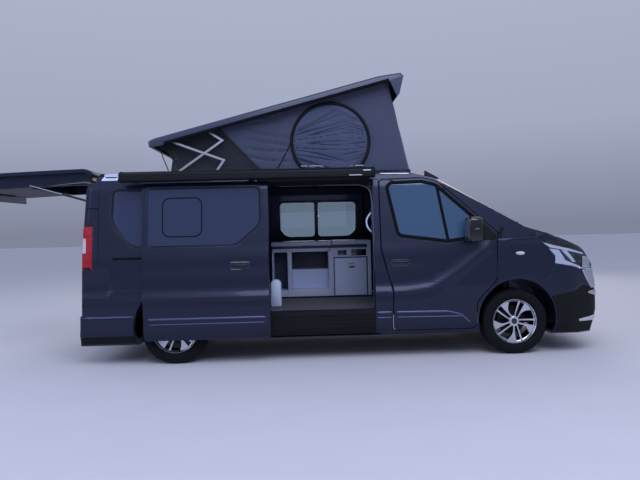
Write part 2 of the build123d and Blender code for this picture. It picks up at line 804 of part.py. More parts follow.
# Upper ends of the crossed bars, and the ears that hold them: x, z from the shell's anchor
shell_pin_z = 18
shell_pin_a = 409
shell_pin_b = 12
for pin_x, ear_y in (
    (shell_pin_a, bar_lane - seat_gap - bar_ear_thick),
    (shell_pin_b, bar_lane + 2 * bar_pitch + bar_thick + seat_gap),
):
    ear_low = shell_pin_z - bar_height / 2
    ear_corners = [
        (pin_x - bar_ear_half, ear_low, 0),
        (pin_x + bar_ear_half, ear_low, 0),
        (pin_x + bar_ear_half, 74, 0),
        (pin_x - bar_ear_half, 74, 0),
    ]
    high_ear = side_prism(raised(ear_corners), ear_y, ear_y + bar_ear_thick)
    pop_roof_shell = pop_roof_shell + high_ear + mirrored(high_ear)
angle_up = math.radians(roof_angle)
turn_xx = math.cos(angle_up) - 1
turn_xz = -math.sin(angle_up)
turn_size = turn_xx * turn_xx + turn_xz * turn_xz
lift_x = shell_anchor_x - shell_closed_x
lift_z = shell_anchor_z - shell_closed_z
roof_pole_x = shell_closed_x - (turn_xx * lift_x - turn_xz * lift_z) / turn_size
roof_pole_z = shell_closed_z - (turn_xz * lift_x + turn_xx * lift_z) / turn_size
print("roof pole", roof_pole_x, roof_pole_z)

# Canvas between the roof opening and the shell
canvas_top_gap = 12
front_top = tilt(2395, -canvas_top_gap)
rear_top = tilt(-150, -canvas_top_gap)
canvas_profile = [
    (-70, canvas_bottom, 0),
    (2489, canvas_bottom, 0),
    (front_top[0], front_top[1], 0),
    (rear_top[0], rear_top[1], 0),
    (-45, 2130, 0),
]
canvas_body = side_prism(canvas_profile, -canvas_half, canvas_half)
hollow_half = canvas_half - canvas_wall
canvas_hollow = side_prism(inset(canvas_profile, canvas_wall), -hollow_half, hollow_half)
mouth_half = opening_half - 20
canvas_mouth = block(0, 2460, -mouth_half, mouth_half, canvas_bottom - 5, canvas_bottom + 30)
roof_canvas = canvas_body - canvas_hollow - canvas_mouth
print("canvas built")

# Crossed bars at the rear of the roof: start, end (both raised), lane
bar_a_elbow = (499, 2300)
bar_a_top = tilt(shell_pin_a, shell_pin_z)
bar_b_top = tilt(shell_pin_b, shell_pin_z)
bar_b_elbow = (514, 2090)


def flat_bar(start, end, lane):
    """A flat bar with round ends between two pins, on both sides of the van."""
    dx, dz = end[0] - start[0], end[1] - start[1]
    length = math.hypot(dx, dz)
    ux, uz = dx / length * bar_height / 2, dz / length * bar_height / 2
    corners = [
        (start[0] - ux + uz, start[1] - uz - ux, bar_height / 2 - 1),
        (end[0] + ux + uz, end[1] + uz - ux, bar_height / 2 - 1),
        (end[0] + ux - uz, end[1] + uz + ux, bar_height / 2 - 1),
        (start[0] - ux - uz, start[1] - uz + ux, bar_height / 2 - 1),
    ]
    y0 = bar_lane + lane * bar_pitch
    return side_prism(corners, y0, y0 + bar_thick)


def lane_face(lane):
    """The inner face of a bar in a lane."""
    return bar_lane + lane * bar_pitch


pin_a_start = lane_face(0) + bar_thick + seat_gap
pin_a = rod(bar_a_elbow[0], pin_a_start, lane_face(1) + 1, bar_a_elbow[1], bar_pin_radius)
pin_b_end = lane_face(3) - seat_gap
pin_b = rod(bar_b_elbow[0], lane_face(2) + bar_thick - 1, pin_b_end, bar_b_elbow[1], bar_pin_radius)
bar_a_link = both(flat_bar(bar_a_top, bar_a_elbow, 0))
bar_a = both(flat_bar(bar_a_foot, bar_a_elbow, 1) + pin_a)
bar_b = both(flat_bar(bar_b_top, bar_b_elbow, 2) + pin_b)
bar_b_link = both(flat_bar(bar_b_foot, bar_b_elbow, 3))
print("bars built")

# Awning cassette along the right-hand roof edge
awning_rear_x = -490
awning_front_x = 2066
awning_profile = [
    (-1050, 1852, 25),
    (-935, 1852, 10),
    (-900, 1890, 10),
    (-900, 1952, 20),
    (-1000, 1958, 30),
    (-1050, 1930, 25),
]
awning = front_prism(awning_profile, awning_rear_x, awning_front_x)
bracket_width = 50
for bracket_x in (-400, 780, 1960):
    awning = awning + block(bracket_x, bracket_x + bracket_width, -910, -790, 1893, 1925)
awning = awning - around_skin

# Inside: kitchen unit along the left wall, bench, front seats, dashboard
kitchen_front_y = 300
kitchen_back_y = 880
kitchen_rear_x = 985
kitchen_front_x = 2190
kitchen_top = 1190
kitchen = block(kitchen_rear_x, kitchen_front_x, kitchen_front_y, kitchen_back_y, floor_top, kitchen_top)
shelf = block(1180, 1600, kitchen_front_y - 1, kitchen_front_y + 350, 620, 1080)
kitchen = kitchen - shelf
fridge_door = block(1700, 2085, kitchen_front_y - 12, kitchen_front_y, 520, 1010)
kitchen_unit = kitchen + fridge_door
bench_seat = block(120, 700, -640, 250, floor_top, 900) + block(80, 200, -640, 250, 900, 1450)
bench_side = block(955, 1075, -520, -380, floor_top, 800)


def seat_at(y):
    """A front seat on its base, facing forward."""
    base = block(2420, 2760, y - 170, y + 170, floor_top, 700)
    cushion = block(2360, 2860, y - 235, y + 235, 700, 850)
    back_outline = [(2250, 850, 40), (2400, 850, 20), (2290, 1430, 40), (2180, 1430, 40)]
    back = side_prism(back_outline, y - 225, y + 225)
    head_outline = [(2160, 1445, 30), (2270, 1445, 30), (2250, 1620, 40), (2160, 1620, 40)]
    head = side_prism(head_outline, y - 130, y + 130)
    neck = block(2190, 2230, y - 60, y + 60, 1425, 1450)
    return base + cushion + back + head + neck


seat_y = 440
front_seats = Compound([*seat_at(seat_y).solids(), *seat_at(-seat_y).solids()])
dashboard = side_prism([
    (3080, 860, 40),
    (bulkhead_x - seat_gap, 860, 0),
    (bulkhead_x - seat_gap, scuttle_z - seat_gap, 0),
    (3180, scuttle_z - seat_gap, 60),
    (3040, 1120, 60),
], -post_y + 5, post_y - 5)
wheel_tilt = math.radians(25)
steer_axis = (-math.cos(wheel_tilt), 0, math.sin(wheel_tilt))
steer_plane = Plane((2960, seat_y, 1110), x_dir=(0, 1, 0), z_dir=steer_axis)
steer_rim = Solid.make_torus(180, 14, steer_plane)
steer_hub = Solid.make_cylinder(60, 40, steer_plane.offset(-30))
column = Solid.make_cylinder(30, 180, steer_plane.offset(-200))
steering_wheel = steer_hub + column + steer_rim
for spoke_angle in (0, 120, 240):
    arm = Solid.make_box(180, 26, 12, Plane((0, -13, -12))).rotate(Axis.Z, spoke_angle)
    steering_wheel = steering_wheel + steer_plane.location * arm
steering_wheel = steering_wheel - dashboard
engine_block = block(3560, 4150, -330, 330, 340 + seat_gap, 1000)
print("interior built")

# Axles and steering knuckles
front_y = front_track / 2
rear_y = rear_track / 2
kingpin_y = 735
hub_radius = 32
rear_axle = rod(0, -rear_y + 60, rear_y - 60, tyre_radius, 45)
for arm_y in (-rail_inner_y - 70, rail_inner_y + 10):
    rear_axle = rear_axle + block(-60, 620, arm_y, arm_y + 60, tyre_radius - 40, tyre_radius + 12)
    rear_axle = rear_axle + block(560, 620, arm_y, arm_y + 60, tyre_radius, rail_low - seat_gap)
rear_stub = rod(0, rear_y - 61, rear_y + 20, tyre_radius, hub_radius)
rear_axle = rear_axle + rear_stub + mirrored(rear_stub)
subframe_top = 340
front_subframe = block(3300, 3700, -430, 430, 262, subframe_top)
for post_x in (3320, 3620):
    post_z = (subframe_top, rail_low - seat_gap)
    frame_post = block(post_x, post_x + 60, rail_inner_y + 5, rail_inner_y + 40, *post_z)
    front_subframe = front_subframe + frame_post + mirrored(frame_post)
arm_top = 300
arm_low = 268
arm_half = 58
arm_tip_half = 15
arm_tip_y = kingpin_y - 35
arm_outline = [
    (wheelbase - arm_half, arm_low, 0),
    (wheelbase + arm_half, arm_low, 0),
    (wheelbase + arm_half - 20, arm_top, 0),
    (wheelbase - arm_half + 20, arm_top, 0),
]
arm_tip_x = (wheelbase - arm_tip_half, wheelbase + arm_tip_half)
lower_arm = side_prism(arm_outline, 425, arm_tip_y)
lower_arm = lower_arm + block(*arm_tip_x, arm_tip_y - 1, kingpin_y + 15, arm_low, arm_top)
front_subframe = front_subframe + lower_arm + mirrored(lower_arm)
spring_leg = Solid.make_cylinder(leg_radius, 480, Plane((wheelbase, leg_y, 520)))
spring_foot = block(wheelbase - 40, wheelbase + 40, 560, 620, arm_low, 560)
spring = spring_leg + spring_foot
front_subframe = front_subframe + spring + mirrored(spring)
knuckle_low = arm_top + seat_gap
knuckle_half = 40
knuckle_x = (wheelbase - knuckle_half, wheelbase + knuckle_half)
knuckle = block(*knuckle_x, kingpin_y - 15, kingpin_y + 15, knuckle_low, tyre_radius + 90)
knuckle = knuckle + rod(wheelbase, kingpin_y, front_y + 20, tyre_radius, hub_radius)
knuckle_left = knuckle
knuckle_right = mirrored(knuckle)
print("axles built")

# Wheels: tyre section as y, radius, corner radius, turned about the axle
tyre_section = [
    (-tyre_width / 2, rim_radius + 45, 30),
    (-tyre_width / 2 + 22, rim_radius, 0),
    (tyre_width / 2 - 22, rim_radius, 0),
    (tyre_width / 2, rim_radius + 45, 30),
    (tyre_width / 2 - 8, tyre_radius - 14, 12),
    (tyre_width / 2 - 30, tyre_radius, 12),
    (-tyre_width / 2 + 30, tyre_radius, 12),
    (-tyre_width / 2 + 8, tyre_radius - 14, 12),
]
rim_barrel_section = [
    (-rim_width / 2, rim_radius - 16, 0),
    (rim_width / 2, rim_radius - 16, 0),
    (rim_width / 2, rim_radius - seat_gap, 0),
    (-rim_width / 2, rim_radius - seat_gap, 0),
]
face_y = 52
face_thick = 22
hub_face_radius = 78
disc_radius = 150
bore_radius = hub_radius + 0.5


def turned(points):
    """Turns a section (y, radius) about the Y axis."""
    face = ring(points, lambda a, b: (0, a, b))
    return Solid.revolve(face, 360, Axis.Y)


tyre = turned(tyre_section)
rim = turned(rim_barrel_section)
rim = rim + rod(0, -30, face_y + face_thick, 0, hub_face_radius)
rim = rim + rod(0, -45, -30, 0, disc_radius)
for index in range(spoke_pairs):
    for lean in (-1, 1):
        spoke = Solid.make_box(rim_radius - 18, face_thick, 24, Plane((20, face_y, -12)))
        spoke = spoke.rotate(Axis((70, 0, 0), (0, 1, 0)), lean * 9)
        spoke = spoke.moved(Location((0, 0, lean * 20)))
        rim = rim + spoke.rotate(Axis.Y, index * 360 / spoke_pairs + 90)
rim = rim & rod(0, -200, 200, 0, rim_radius - seat_gap)
rim = rim - rod(0, -70, 21, 0, bore_radius)
print("wheel built")

wheel_places = [
    ("front_left", wheelbase, front_y),
    ("front_right", wheelbase, -front_y),
    ("rear_left", 0, rear_y),
    ("rear_right", 0, -rear_y),
]

pieces = {
    "floor_pan": floor_pan,
    "side_left": side_left,
    "side_right": side_right,
    "roof_frame": roof_frame,
    "cab_frame": cab_frame,
    "windscreen": windscreen,
    "side_glass": side_glass,
    "front_wings": both(wing),
    "front_bumper": front_bumper,
    "grille": grille,
    "headlamps": both(headlamp),
    "rear_lamps": both(rear_lamp),
    "rear_bumper": rear_bumper,
    "sliding_door": sliding_door,
    "sliding_door_glass": sliding_door_glass,
    "awning": awning,
    "kitchen_unit": kitchen_unit,
    "bench_seat": Compound([*bench_seat.solids(), *bench_side.solids()]),
    "front_seats": front_seats,
    "dashboard": dashboard,
    "steering_wheel": steering_wheel,
    "engine_block": engine_block,
    "rear_axle": rear_axle,
    "front_subframe": front_subframe,
    "door_left": door_left,
    "door_left_glass": door_left_glass,
    "mirror_left": mirror_left,
    "door_right": door_right,
    "door_right_glass": door_right_glass,
    "mirror_right": mirror_right,
    "bonnet": bonnet,
    "tailgate": tailgate,
    "tailgate_glass": tailgate_glass,
    "strut_tubes": both(strut_tube),
    "strut_rods": both(strut_rod),
    "pop_roof_shell": pop_roof_shell,
    "roof_canvas": roof_canvas,
    "scissor_long_lower": bar_a,
    "scissor_short_upper": bar_a_link,
    "scissor_long_upper": bar_b,
    "scissor_short_lower": bar_b_link,
    "knuckle_left": knuckle_left,
    "knuckle_right": knuckle_right,
}
for place, x, y in wheel_places:
    turn = 0 if y > 0 else 180
    for name, shape in (("tyre", tyre), ("rim", rim)):
        pieces[f"{name}_{place}"] = shape.rotate(Axis.Z, turn).moved(Location((x, y, tyre_radius)))

whole = Compound([solid for piece in pieces.values() for solid in piece.solids()])
box = whole.bounding_box()
middle_x = (box.min.X + box.max.X) / 2
print("box", box.min, box.max, "middle", middle_x)

os.makedirs("parts", exist_ok=True)
for name, piece in pieces.items():
    group = Compound(piece.solids()).moved(Location((-middle_x, 0, 0)))
    export_step(group, f"parts/{name}.step")
print("written", len(pieces))
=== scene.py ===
# %% [markdown]
# A camper van with its sleeping roof raised, its side door slid open and its tailgate up. The
# solid model gives every panel, hinge and wheel at its real size. This lesson dresses it: it
# presses the body sides into shape, fits glass, seals, lamps and wheels, and hangs the canvas.
# Nothing is moved away from the solid model, and every new piece rides on one of its bodies.

# %% Load the frame
import math

import bmesh
import bpy
from mathutils import Matrix, Vector, noise
from mathutils.geometry import delaunay_2d_cdt


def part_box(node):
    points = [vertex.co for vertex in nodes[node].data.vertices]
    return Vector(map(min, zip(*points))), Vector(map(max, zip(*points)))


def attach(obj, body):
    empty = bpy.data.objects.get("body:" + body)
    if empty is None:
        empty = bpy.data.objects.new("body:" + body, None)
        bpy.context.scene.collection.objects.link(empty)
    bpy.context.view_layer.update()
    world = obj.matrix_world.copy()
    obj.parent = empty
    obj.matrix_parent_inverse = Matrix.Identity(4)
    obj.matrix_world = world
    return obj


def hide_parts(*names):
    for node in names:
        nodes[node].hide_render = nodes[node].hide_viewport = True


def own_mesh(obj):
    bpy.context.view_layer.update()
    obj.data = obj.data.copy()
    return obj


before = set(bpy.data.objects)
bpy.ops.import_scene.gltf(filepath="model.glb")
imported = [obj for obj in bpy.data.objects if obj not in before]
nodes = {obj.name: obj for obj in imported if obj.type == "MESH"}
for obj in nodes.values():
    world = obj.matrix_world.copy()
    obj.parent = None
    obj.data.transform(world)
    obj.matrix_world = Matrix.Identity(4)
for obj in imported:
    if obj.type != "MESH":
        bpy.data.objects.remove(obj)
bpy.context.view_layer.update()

# %% [markdown]
# Sizes along the van are easiest to read from the rear axle, as on a workshop drawing. The
# frame says where that axle lies, so one value turns a workshop size into a place. Two helpers
# put an object into the scene and read a mesh as its modifiers leave it.

# %% The axle that lengths are counted from
rear_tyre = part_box("tyre_rear_right")
axle_x = (rear_tyre[0].x + rear_tyre[1].x) / 2
wheelbase = 3.498
MM = 0.001
RIGHT = -1
LEFT = 1
SIDES = (("right", RIGHT), ("left", LEFT))


def at(x, y, z):
    """A point given in metres from the rear axle, the middle and the ground."""
    return Vector((x + axle_x, y, z))


def linked(name, data):
    """A new object in the scene."""
    made = bpy.data.objects.new(name, data)
    bpy.context.scene.collection.objects.link(made)
    return made


def evaluated(piece):
    """The mesh of a piece as its modifiers leave it."""
    graph = bpy.context.evaluated_depsgraph_get()
    graph.update()
    return bpy.data.meshes.new_from_object(piece.evaluated_get(graph), depsgraph=graph)


print("rear axle at", round(axle_x, 4))

# %% [markdown]
# The photograph was taken from head height beside the van, with the horizon a little off
# level. The camera is set once, from the place and the turns that fit the wheels, the door
# lines and the roof, and its lens is that of the photograph.

# %% Camera
def make_camera():
    place = Vector((0.189, -7.044, 1.343))
    yaw, pitch, roll = (math.radians(a) for a in (1.53, -1.06, -1.35))
    forward = Vector((math.sin(yaw) * math.cos(pitch), math.cos(yaw) * math.cos(pitch), math.sin(pitch)))
    right = Vector((math.cos(yaw), -math.sin(yaw), 0))
    up = right.cross(forward)
    turned_right = right * math.cos(roll) + up * math.sin(roll)
    turned_up = up * math.cos(roll) - right * math.sin(roll)
    turn = Matrix((turned_right, turned_up, -forward)).transposed()
    data = bpy.data.cameras.new("camera")
    data.lens = 33.75
    data.sensor_width = 36
    camera = linked("camera", data)
    camera.matrix_world = Matrix.Translation(place) @ turn.to_4x4()
    bpy.context.scene.camera = camera


make_camera()
bpy.context.scene.view_settings.view_transform = "Standard"

# %% [markdown]
# One small function adds a shader node, sets it up and wires it, and a few more make sums, ranges
# and noises with it. Every finish below is built with them, is named for the real material that it
# stands for, and says which slot it usually fills.

# %% Helpers for finishes
def linear(code):
    """An sRGB hex colour as linear red, green, blue and full alpha."""
    parts = [int(code[i:i + 2], 16) / 255 for i in (1, 3, 5)]
    return (*[c / 12.92 if c <= 0.04045 else ((c + 0.055) / 1.055) ** 2.4 for c in parts], 1)


def add(tree, kind, inputs=None, **settings):
    """Adds a node; inputs maps a socket to a value or to the socket that feeds it."""
    made = tree.nodes.new(kind)
    for name, value in settings.items():
        setattr(made, name, value)
    for key, value in (inputs or {}).items():
        if isinstance(value, bpy.types.NodeSocket):
            tree.links.new(value, made.inputs[key])
        else:
            made.inputs[key].default_value = value
    return made


def maths(tree, operation, *values):
    """The outcome of one sum on values or on what other nodes give."""
    return add(tree, "ShaderNodeMath", dict(enumerate(values)), operation=operation).outputs[0]


def ranged(tree, value, low, high, start=0.0, end=1.0):
    """A value that runs from start to end, spread between low and high."""
    inputs = {"Value": value, "From Min": start, "From Max": end, "To Min": low, "To Max": high}
    return add(tree, "ShaderNodeMapRange", inputs).outputs["Result"]


def noisy(tree, where, scale, detail):
    """A noise over the object that drifts between 0 and 1."""
    return add(tree, "ShaderNodeTexNoise", {"Vector": where, "Scale": scale, "Detail": detail}).outputs["Fac"]


def scaled_colour(tree, colour, share):
    """A colour made darker or lighter by a share."""
    inputs = {0: colour, "Scale": share}
    return add(tree, "ShaderNodeVectorMath", inputs, operation="SCALE").outputs["Vector"]


usual_slot = {}


def new_material(name, slot):
    """A named material, its node tree and its shader; the slot is the one it usually fills."""
    material = bpy.data.materials.new(name)
    material.use_nodes = True
    usual_slot[name] = slot
    tree = material.node_tree
    return material, tree, tree.nodes["Principled BSDF"]


def feed(tree, shader, **sockets):
    """Sets a shader's sockets by name, from values or from other sockets."""
    for key, value in sockets.items():
        socket = shader.inputs[key.replace("_", " ")]
        if isinstance(value, bpy.types.NodeSocket):
            tree.links.new(value, socket)
        else:
            socket.default_value = value


def finish(name, colour, rough, metallic=0.0, grain=0.0, grain_mm=2.0, spread=0.06, slot="", **sockets):
    """A finish with a slow drift of tone, a fine grain in roughness and bump, and plain sockets."""
    material, tree, shader = new_material(name, slot)
    where = add(tree, "ShaderNodeTexCoord").outputs["Object"]
    fine = noisy(tree, where, 1000 / grain_mm, 2.0)
    slow = noisy(tree, where, 2.6, 4.0)
    tone = ranged(tree, slow, 1 - spread, 1 + spread)
    gloss = ranged(tree, fine, rough * 0.85, min(1, rough * 1.15))
    base = scaled_colour(tree, linear(colour)[:3], tone)
    feed(tree, shader, Base_Color=base, Roughness=gloss, Metallic=metallic, **sockets)
    if grain > 0:
        bump = add(tree, "ShaderNodeBump", {"Height": fine, "Strength": grain, "Distance": grain_mm * MM})
        feed(tree, shader, Normal=bump.outputs["Normal"])
    return material


# %% [markdown]
# The body is dark blue-grey metallic enamel under clear lacquer: the flakes make it lighter
# where it faces the light, and the lacquer gives one sharp highlight on top. Mouldings are
# grained black polypropylene, and seals are dull black EPDM rubber.

# %% Hard finishes
paint = finish(
    "metallic_enamel", "#19213a", 0.36, 0.6, spread=0.04, Coat_Weight=0.3, Coat_Roughness=0.07, slot="paint",
)
polypropylene = finish(
    "grained_polypropylene", "#0a0b12", 0.62, grain=0.35, grain_mm=3, Specular_IOR_Level=0.22,
    slot="black_plastic",
)
gloss_black = finish(
    "gloss_black_lacquer", "#0c0d12", 0.16, spread=0.02, Coat_Weight=0.5, slot="black_plastic",
)
seal_rubber = finish(
    "epdm_rubber", "#06070f", 0.8, grain=0.2, grain_mm=2, Specular_IOR_Level=0.15, slot="black_plastic",
)
tyre_rubber = finish("tyre_rubber", "#17171a", 0.82, grain=0.3, grain_mm=4)
black_steel = finish("black_coated_steel", "#12141f", 0.5, 0.2, grain=0.15, grain_mm=3)
anodised = finish("anodised_aluminium", "#b9bec9", 0.34, 0.9, grain=0.05, grain_mm=2, slot="aluminium")
machined = finish("diamond_cut_alloy", "#c6cad4", 0.22, 0.95, spread=0.03, Coat_Weight=0.4)
chrome = finish("chrome_plating", "#cfd3da", 0.1, 1.0, spread=0.02, slot="aluminium")
weather_grey = finish("foam_weatherstrip", "#4a4f63", 0.7, grain=0.2, grain_mm=2, slot="black_plastic")
trim_grey = finish("moulded_abs_trim", "#2a2c38", 0.6, grain=0.3, grain_mm=3, slot="trim")
lining = finish("needle_felt_lining", "#20212d", 0.95, grain=0.7, grain_mm=4, Sheen_Weight=0.2)
laminate = finish("grey_laminate", "#c4d0ee", 0.42, spread=0.03, grain=0.04, grain_mm=2, slot="board")
laminate_edge = finish("dark_laminate_edge", "#3a4157", 0.5, grain=0.05)
fridge_skin = finish("powder_coated_door", "#cddcff", 0.38, grain=0.08, grain_mm=2)
shell_paint = finish("shell_enamel", "#2c3650", 0.42, 0.35, spread=0.05, Coat_Weight=0.4, Coat_Roughness=0.15)
plate_white = finish("reflective_plate", "#c9ccd0", 0.4, spread=0.01)
print("hard finishes", len(usual_slot))

# %% [markdown]
# Glass in a van's rear is privacy glass, dyed nearly black, so it shows what it mirrors more
# than what is behind it. The front side glass is lightly tinted. Lamp covers are clear
# polycarbonate over chromed reflectors, and the tail lamps are dyed red acrylic.

# %% Glass and lamp finishes
def glass_finish(name, colour, through, rough=0.03, slot="glass"):
    material, tree, shader = new_material(name, slot)
    feed(tree, shader, Base_Color=linear(colour), Roughness=rough, IOR=1.5, Transmission_Weight=through)
    return material


privacy_glass = glass_finish("privacy_glass", "#2b3655", 0.12)
side_screen = glass_finish("tinted_front_glass", "#3f5c7c", 0.2)
front_screen = glass_finish("windscreen_glass", "#9fb4c0", 0.7)
far_glass = glass_finish("tinted_far_glass", "#7f9fa3", 0.94)
clear_cover = glass_finish("clear_polycarbonate", "#dfe6ee", 0.9, slot="lamp")
red_acrylic = glass_finish("red_acrylic", "#b01f30", 0.25, 0.12, slot="tail_lamp")
white_acrylic = glass_finish("white_acrylic", "#dadde2", 0.3, 0.15, slot="lamp")
frit = finish("black_frit", "#080a14", 0.3, spread=0.02, Specular_IOR_Level=0.25, slot="black_plastic")
print("finishes", len(usual_slot))

# %% [markdown]
# The canvas of a sleeping roof is coated cotton drill. Its threads are half a millimetre
# apart, far too fine for this picture, so the weave is drawn five times as coarse.

# %% Woven finishes
def cloth_finish(name, colour, thread_mm, depth, slot=""):
    material, tree, shader = new_material(name, slot)
    where = add(tree, "ShaderNodeTexCoord").outputs["Object"]
    threads = {"Vector": where, "Scale": 1000 / thread_mm / 20, "Distortion": 0.4, "Detail": 1.0}
    waves = [
        add(tree, "ShaderNodeTexWave", threads, bands_direction=way).outputs["Fac"]
        for way in ("X", "Z")
    ]
    weave = maths(tree, "MULTIPLY", *waves)
    base = scaled_colour(tree, linear(colour)[:3], ranged(tree, noisy(tree, where, 3.5, 5.0), 0.86, 1.12))
    bump = add(tree, "ShaderNodeBump", {"Height": weave, "Strength": depth, "Distance": thread_mm * MM * 0.3})
    feed(tree, shader, Base_Color=base, Normal=bump.outputs["Normal"], Roughness=0.9, Sheen_Weight=0.25)
    return material


canvas_cloth = cloth_finish("coated_canvas", "#3e455d", 2.5, 0.35)


def darker_behind(material, lean, limit, keep):
    """Darken a cloth behind a line that leans: x plus lean times z is below the limit there."""
    tree = material.node_tree
    colour = tree.nodes["Principled BSDF"].inputs["Base Color"]
    where = add(tree, "ShaderNodeTexCoord").outputs["Object"]
    parts = add(tree, "ShaderNodeSeparateXYZ", {"Vector": where}).outputs
    place = maths(tree, "MULTIPLY_ADD", parts["Z"], lean, parts["X"])
    behind = maths(tree, "LESS_THAN", place, limit)
    tone = scaled_colour(tree, colour.links[0].from_socket, ranged(tree, behind, 1.0, keep))
    tree.links.new(tone, colour)


darker_behind(canvas_cloth, lean=0.949, limit=2.785 + axle_x, keep=0.185)
mesh_cloth = cloth_finish("window_cover_cloth", "#3f4763", 2.5, 0.3)
seat_cloth = cloth_finish("woven_seat_cloth", "#2b2e3b", 4, 0.6)
light_cloth = cloth_finish("pale_seat_shell", "#8f9cb2", 4, 0.3)

# %% [markdown]
# The body's surface is where a cross-section, a plan outline and a turned nose meet. The same
# three lines are written here once, so that a pressed panel can be laid on the solid model's
# surface anywhere along the side. Plain outlines are made by two helpers.

# %% The body's surface
half_section = [
    (0.900, 0.200, 0.04), (0.958, 0.330, 0.06), (0.978, 0.720, 0.5),
    (0.958, 1.150, 0.5), (0.868, 1.800, 0.2), (0.795, 1.945, 0.11), (0.0, 1.985, 0),
]
half_plan = [
    (0.960, -0.973, 0.12), (0.990, 0.900, 0), (0.984, 3.300, 0.6),
    (0.925, 4.080, 0.5), (0.770, 4.390, 0.26), (0.380, 4.640, 0),
]
nose_centre_x = 1.2
nose_line = [
    (4.395, 0.100, 0), (4.440, 0.230, 0.06), (4.512, 0.420, 0.12), (4.508, 0.640, 0.15),
    (4.445, 0.930, 0.12), (4.350, 1.085, 0.2), (4.010, 1.243, 0.4), (3.790, 1.312, 0.06),
    (2.915, 1.842, 0.5), (2.500, 1.970, 0),
]


def rounded(points, closed=False, steps=6):
    """Corners (a, b, radius) as a line whose corners are arcs."""
    line = []
    count = len(points)
    for index, (a, b, radius) in enumerate(points):
        ends = not closed and index in (0, count - 1)
        if ends or radius <= 0:
            line.append(Vector((a, b)))
            continue
        corner = Vector((a, b))
        back = (Vector(points[index - 1][:2]) - corner).normalized()
        on = (Vector(points[(index + 1) % count][:2]) - corner).normalized()
        half_turn = back.angle(on) / 2
        reach = radius / math.tan(half_turn)
        centre = corner + (back + on).normalized() * radius / math.sin(half_turn)
        start, end = corner + back * reach - centre, corner + on * reach - centre
        for step in range(steps + 1):
            mix = step / steps
            spoke = (start * (1 - mix) + end * mix).normalized() * radius
            line.append(centre + spoke)
    return line


def oblong(a, b, low, high, radius):
    """Corners of an oblong from a to b and from low to high, all rounded alike."""
    return [(a, low, radius), (b, low, radius), (b, high, radius), (a, high, radius)]


def even_sided(half, low, high, radius, half_high=None):
    """Corners of a shape that reaches as far to both sides, and perhaps less far at its top."""
    top = half if half_high is None else half_high
    return [(-half, low, radius), (half, low, radius), (top, high, radius), (-top, high, radius)]


section_line = rounded(half_section)
plan_line = rounded(half_plan)
nose_points = rounded(nose_line)


def along(line, b):
    """The first value of a line where its second value is b."""
    for one, two in zip(line, line[1:]):
        if min(one.y, two.y) <= b <= max(one.y, two.y) and one.y != two.y:
            return one.x + (two.x - one.x) * (b - one.y) / (two.y - one.y)
    return line[0].x if b < line[0].y else line[-1].x


def side_y(x, z):
    """Half the body's width at a place along it and a height."""
    width = min(along(section_line, z), along(plan_line, x))
    radius = along(nose_points, z) - nose_centre_x
    ahead = x - nose_centre_x
    if ahead > 0 and radius > 0:
        width = min(width, math.sqrt(max(radius * radius - ahead * ahead, 0)))
    return width


print("half width at the front door", round(side_y(2.6, 0.9), 3))

# %% [markdown]
# A pressed panel is drawn as its outline seen from the side, with its openings. The outline is
# filled with small triangles, each corner is laid on the body's surface, and the pressing
# raises it by a few millimetres. The rim is rounded down to the surface, as a folded edge is.

# %% Pressed panels
def spaced(line, step, closed=True):
    """A line with points added so that no run is longer than step."""
    made = []
    pairs = list(zip(line, line[1:] + line[:1])) if closed else list(zip(line, line[1:]))
    for one, two in pairs:
        count = max(1, math.ceil((two - one).length / step))
        made += [one.lerp(two, index / count) for index in range(count)]
    return made if closed else made + [line[-1]]


def area(line):
    return sum(a.x * b.y - b.x * a.y for a, b in zip(line, line[1:] + line[:1])) / 2


def shrunk(line, distance):
    """A closed line moved inwards by a distance; a negative distance moves it outwards."""
    sign = 1 if area(line) > 0 else -1
    made = []
    for index, here in enumerate(line):
        back = (here - line[index - 1]).normalized()
        on = (line[(index + 1) % len(line)] - here).normalized()
        mean = (back + on).normalized()
        stretch = 1 / max(0.4, mean.dot(back))
        made.append(here + Vector((-mean.y, mean.x)) * sign * distance * stretch)
    return made


def inside(point, line):
    """Whether a point lies inside a closed line."""
    hit = False
    for one, two in zip(line, line[1:] + line[:1]):
        if (one.y > point.y) != (two.y > point.y):
            if point.x < one.x + (two.x - one.x) * (point.y - one.y) / (two.y - one.y):
                hit = not hit
    return hit


def bands(rows, count, closed=True):
    """Faces between lines of points that follow one another, each count points long."""
    made = []
    for row in range(rows):
        low, high = row * count, (row + 1) * count
        for index in range(count if closed else count - 1):
            on = (index + 1) % count
            made.append((low + index, low + on, high + on, high + index))
    return made


def face_outwards(mesh, measure=None):
    """Has all faces look one way, and turns them over where the measure says they look in."""
    builder = bmesh.new()
    builder.from_mesh(mesh)
    bmesh.ops.recalc_face_normals(builder, faces=builder.faces)
    if measure and sum(measure(face) * face.calc_area() for face in builder.faces) < 0:
        bmesh.ops.reverse_faces(builder, faces=builder.faces)
    builder.to_mesh(mesh)
    builder.free()


def mesh_object(name, points, faces, material, body="body", slot=None):
    """A mesh piece with one finish that rides on a body."""
    mesh = bpy.data.meshes.new(name)
    mesh.from_pydata([tuple(p) for p in points], [], faces)
    mesh.materials.append(material)
    made = linked(name, mesh)
    mesh.shade_smooth()
    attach(made, body)
    slot = slot or usual_slot[material.name]
    return made


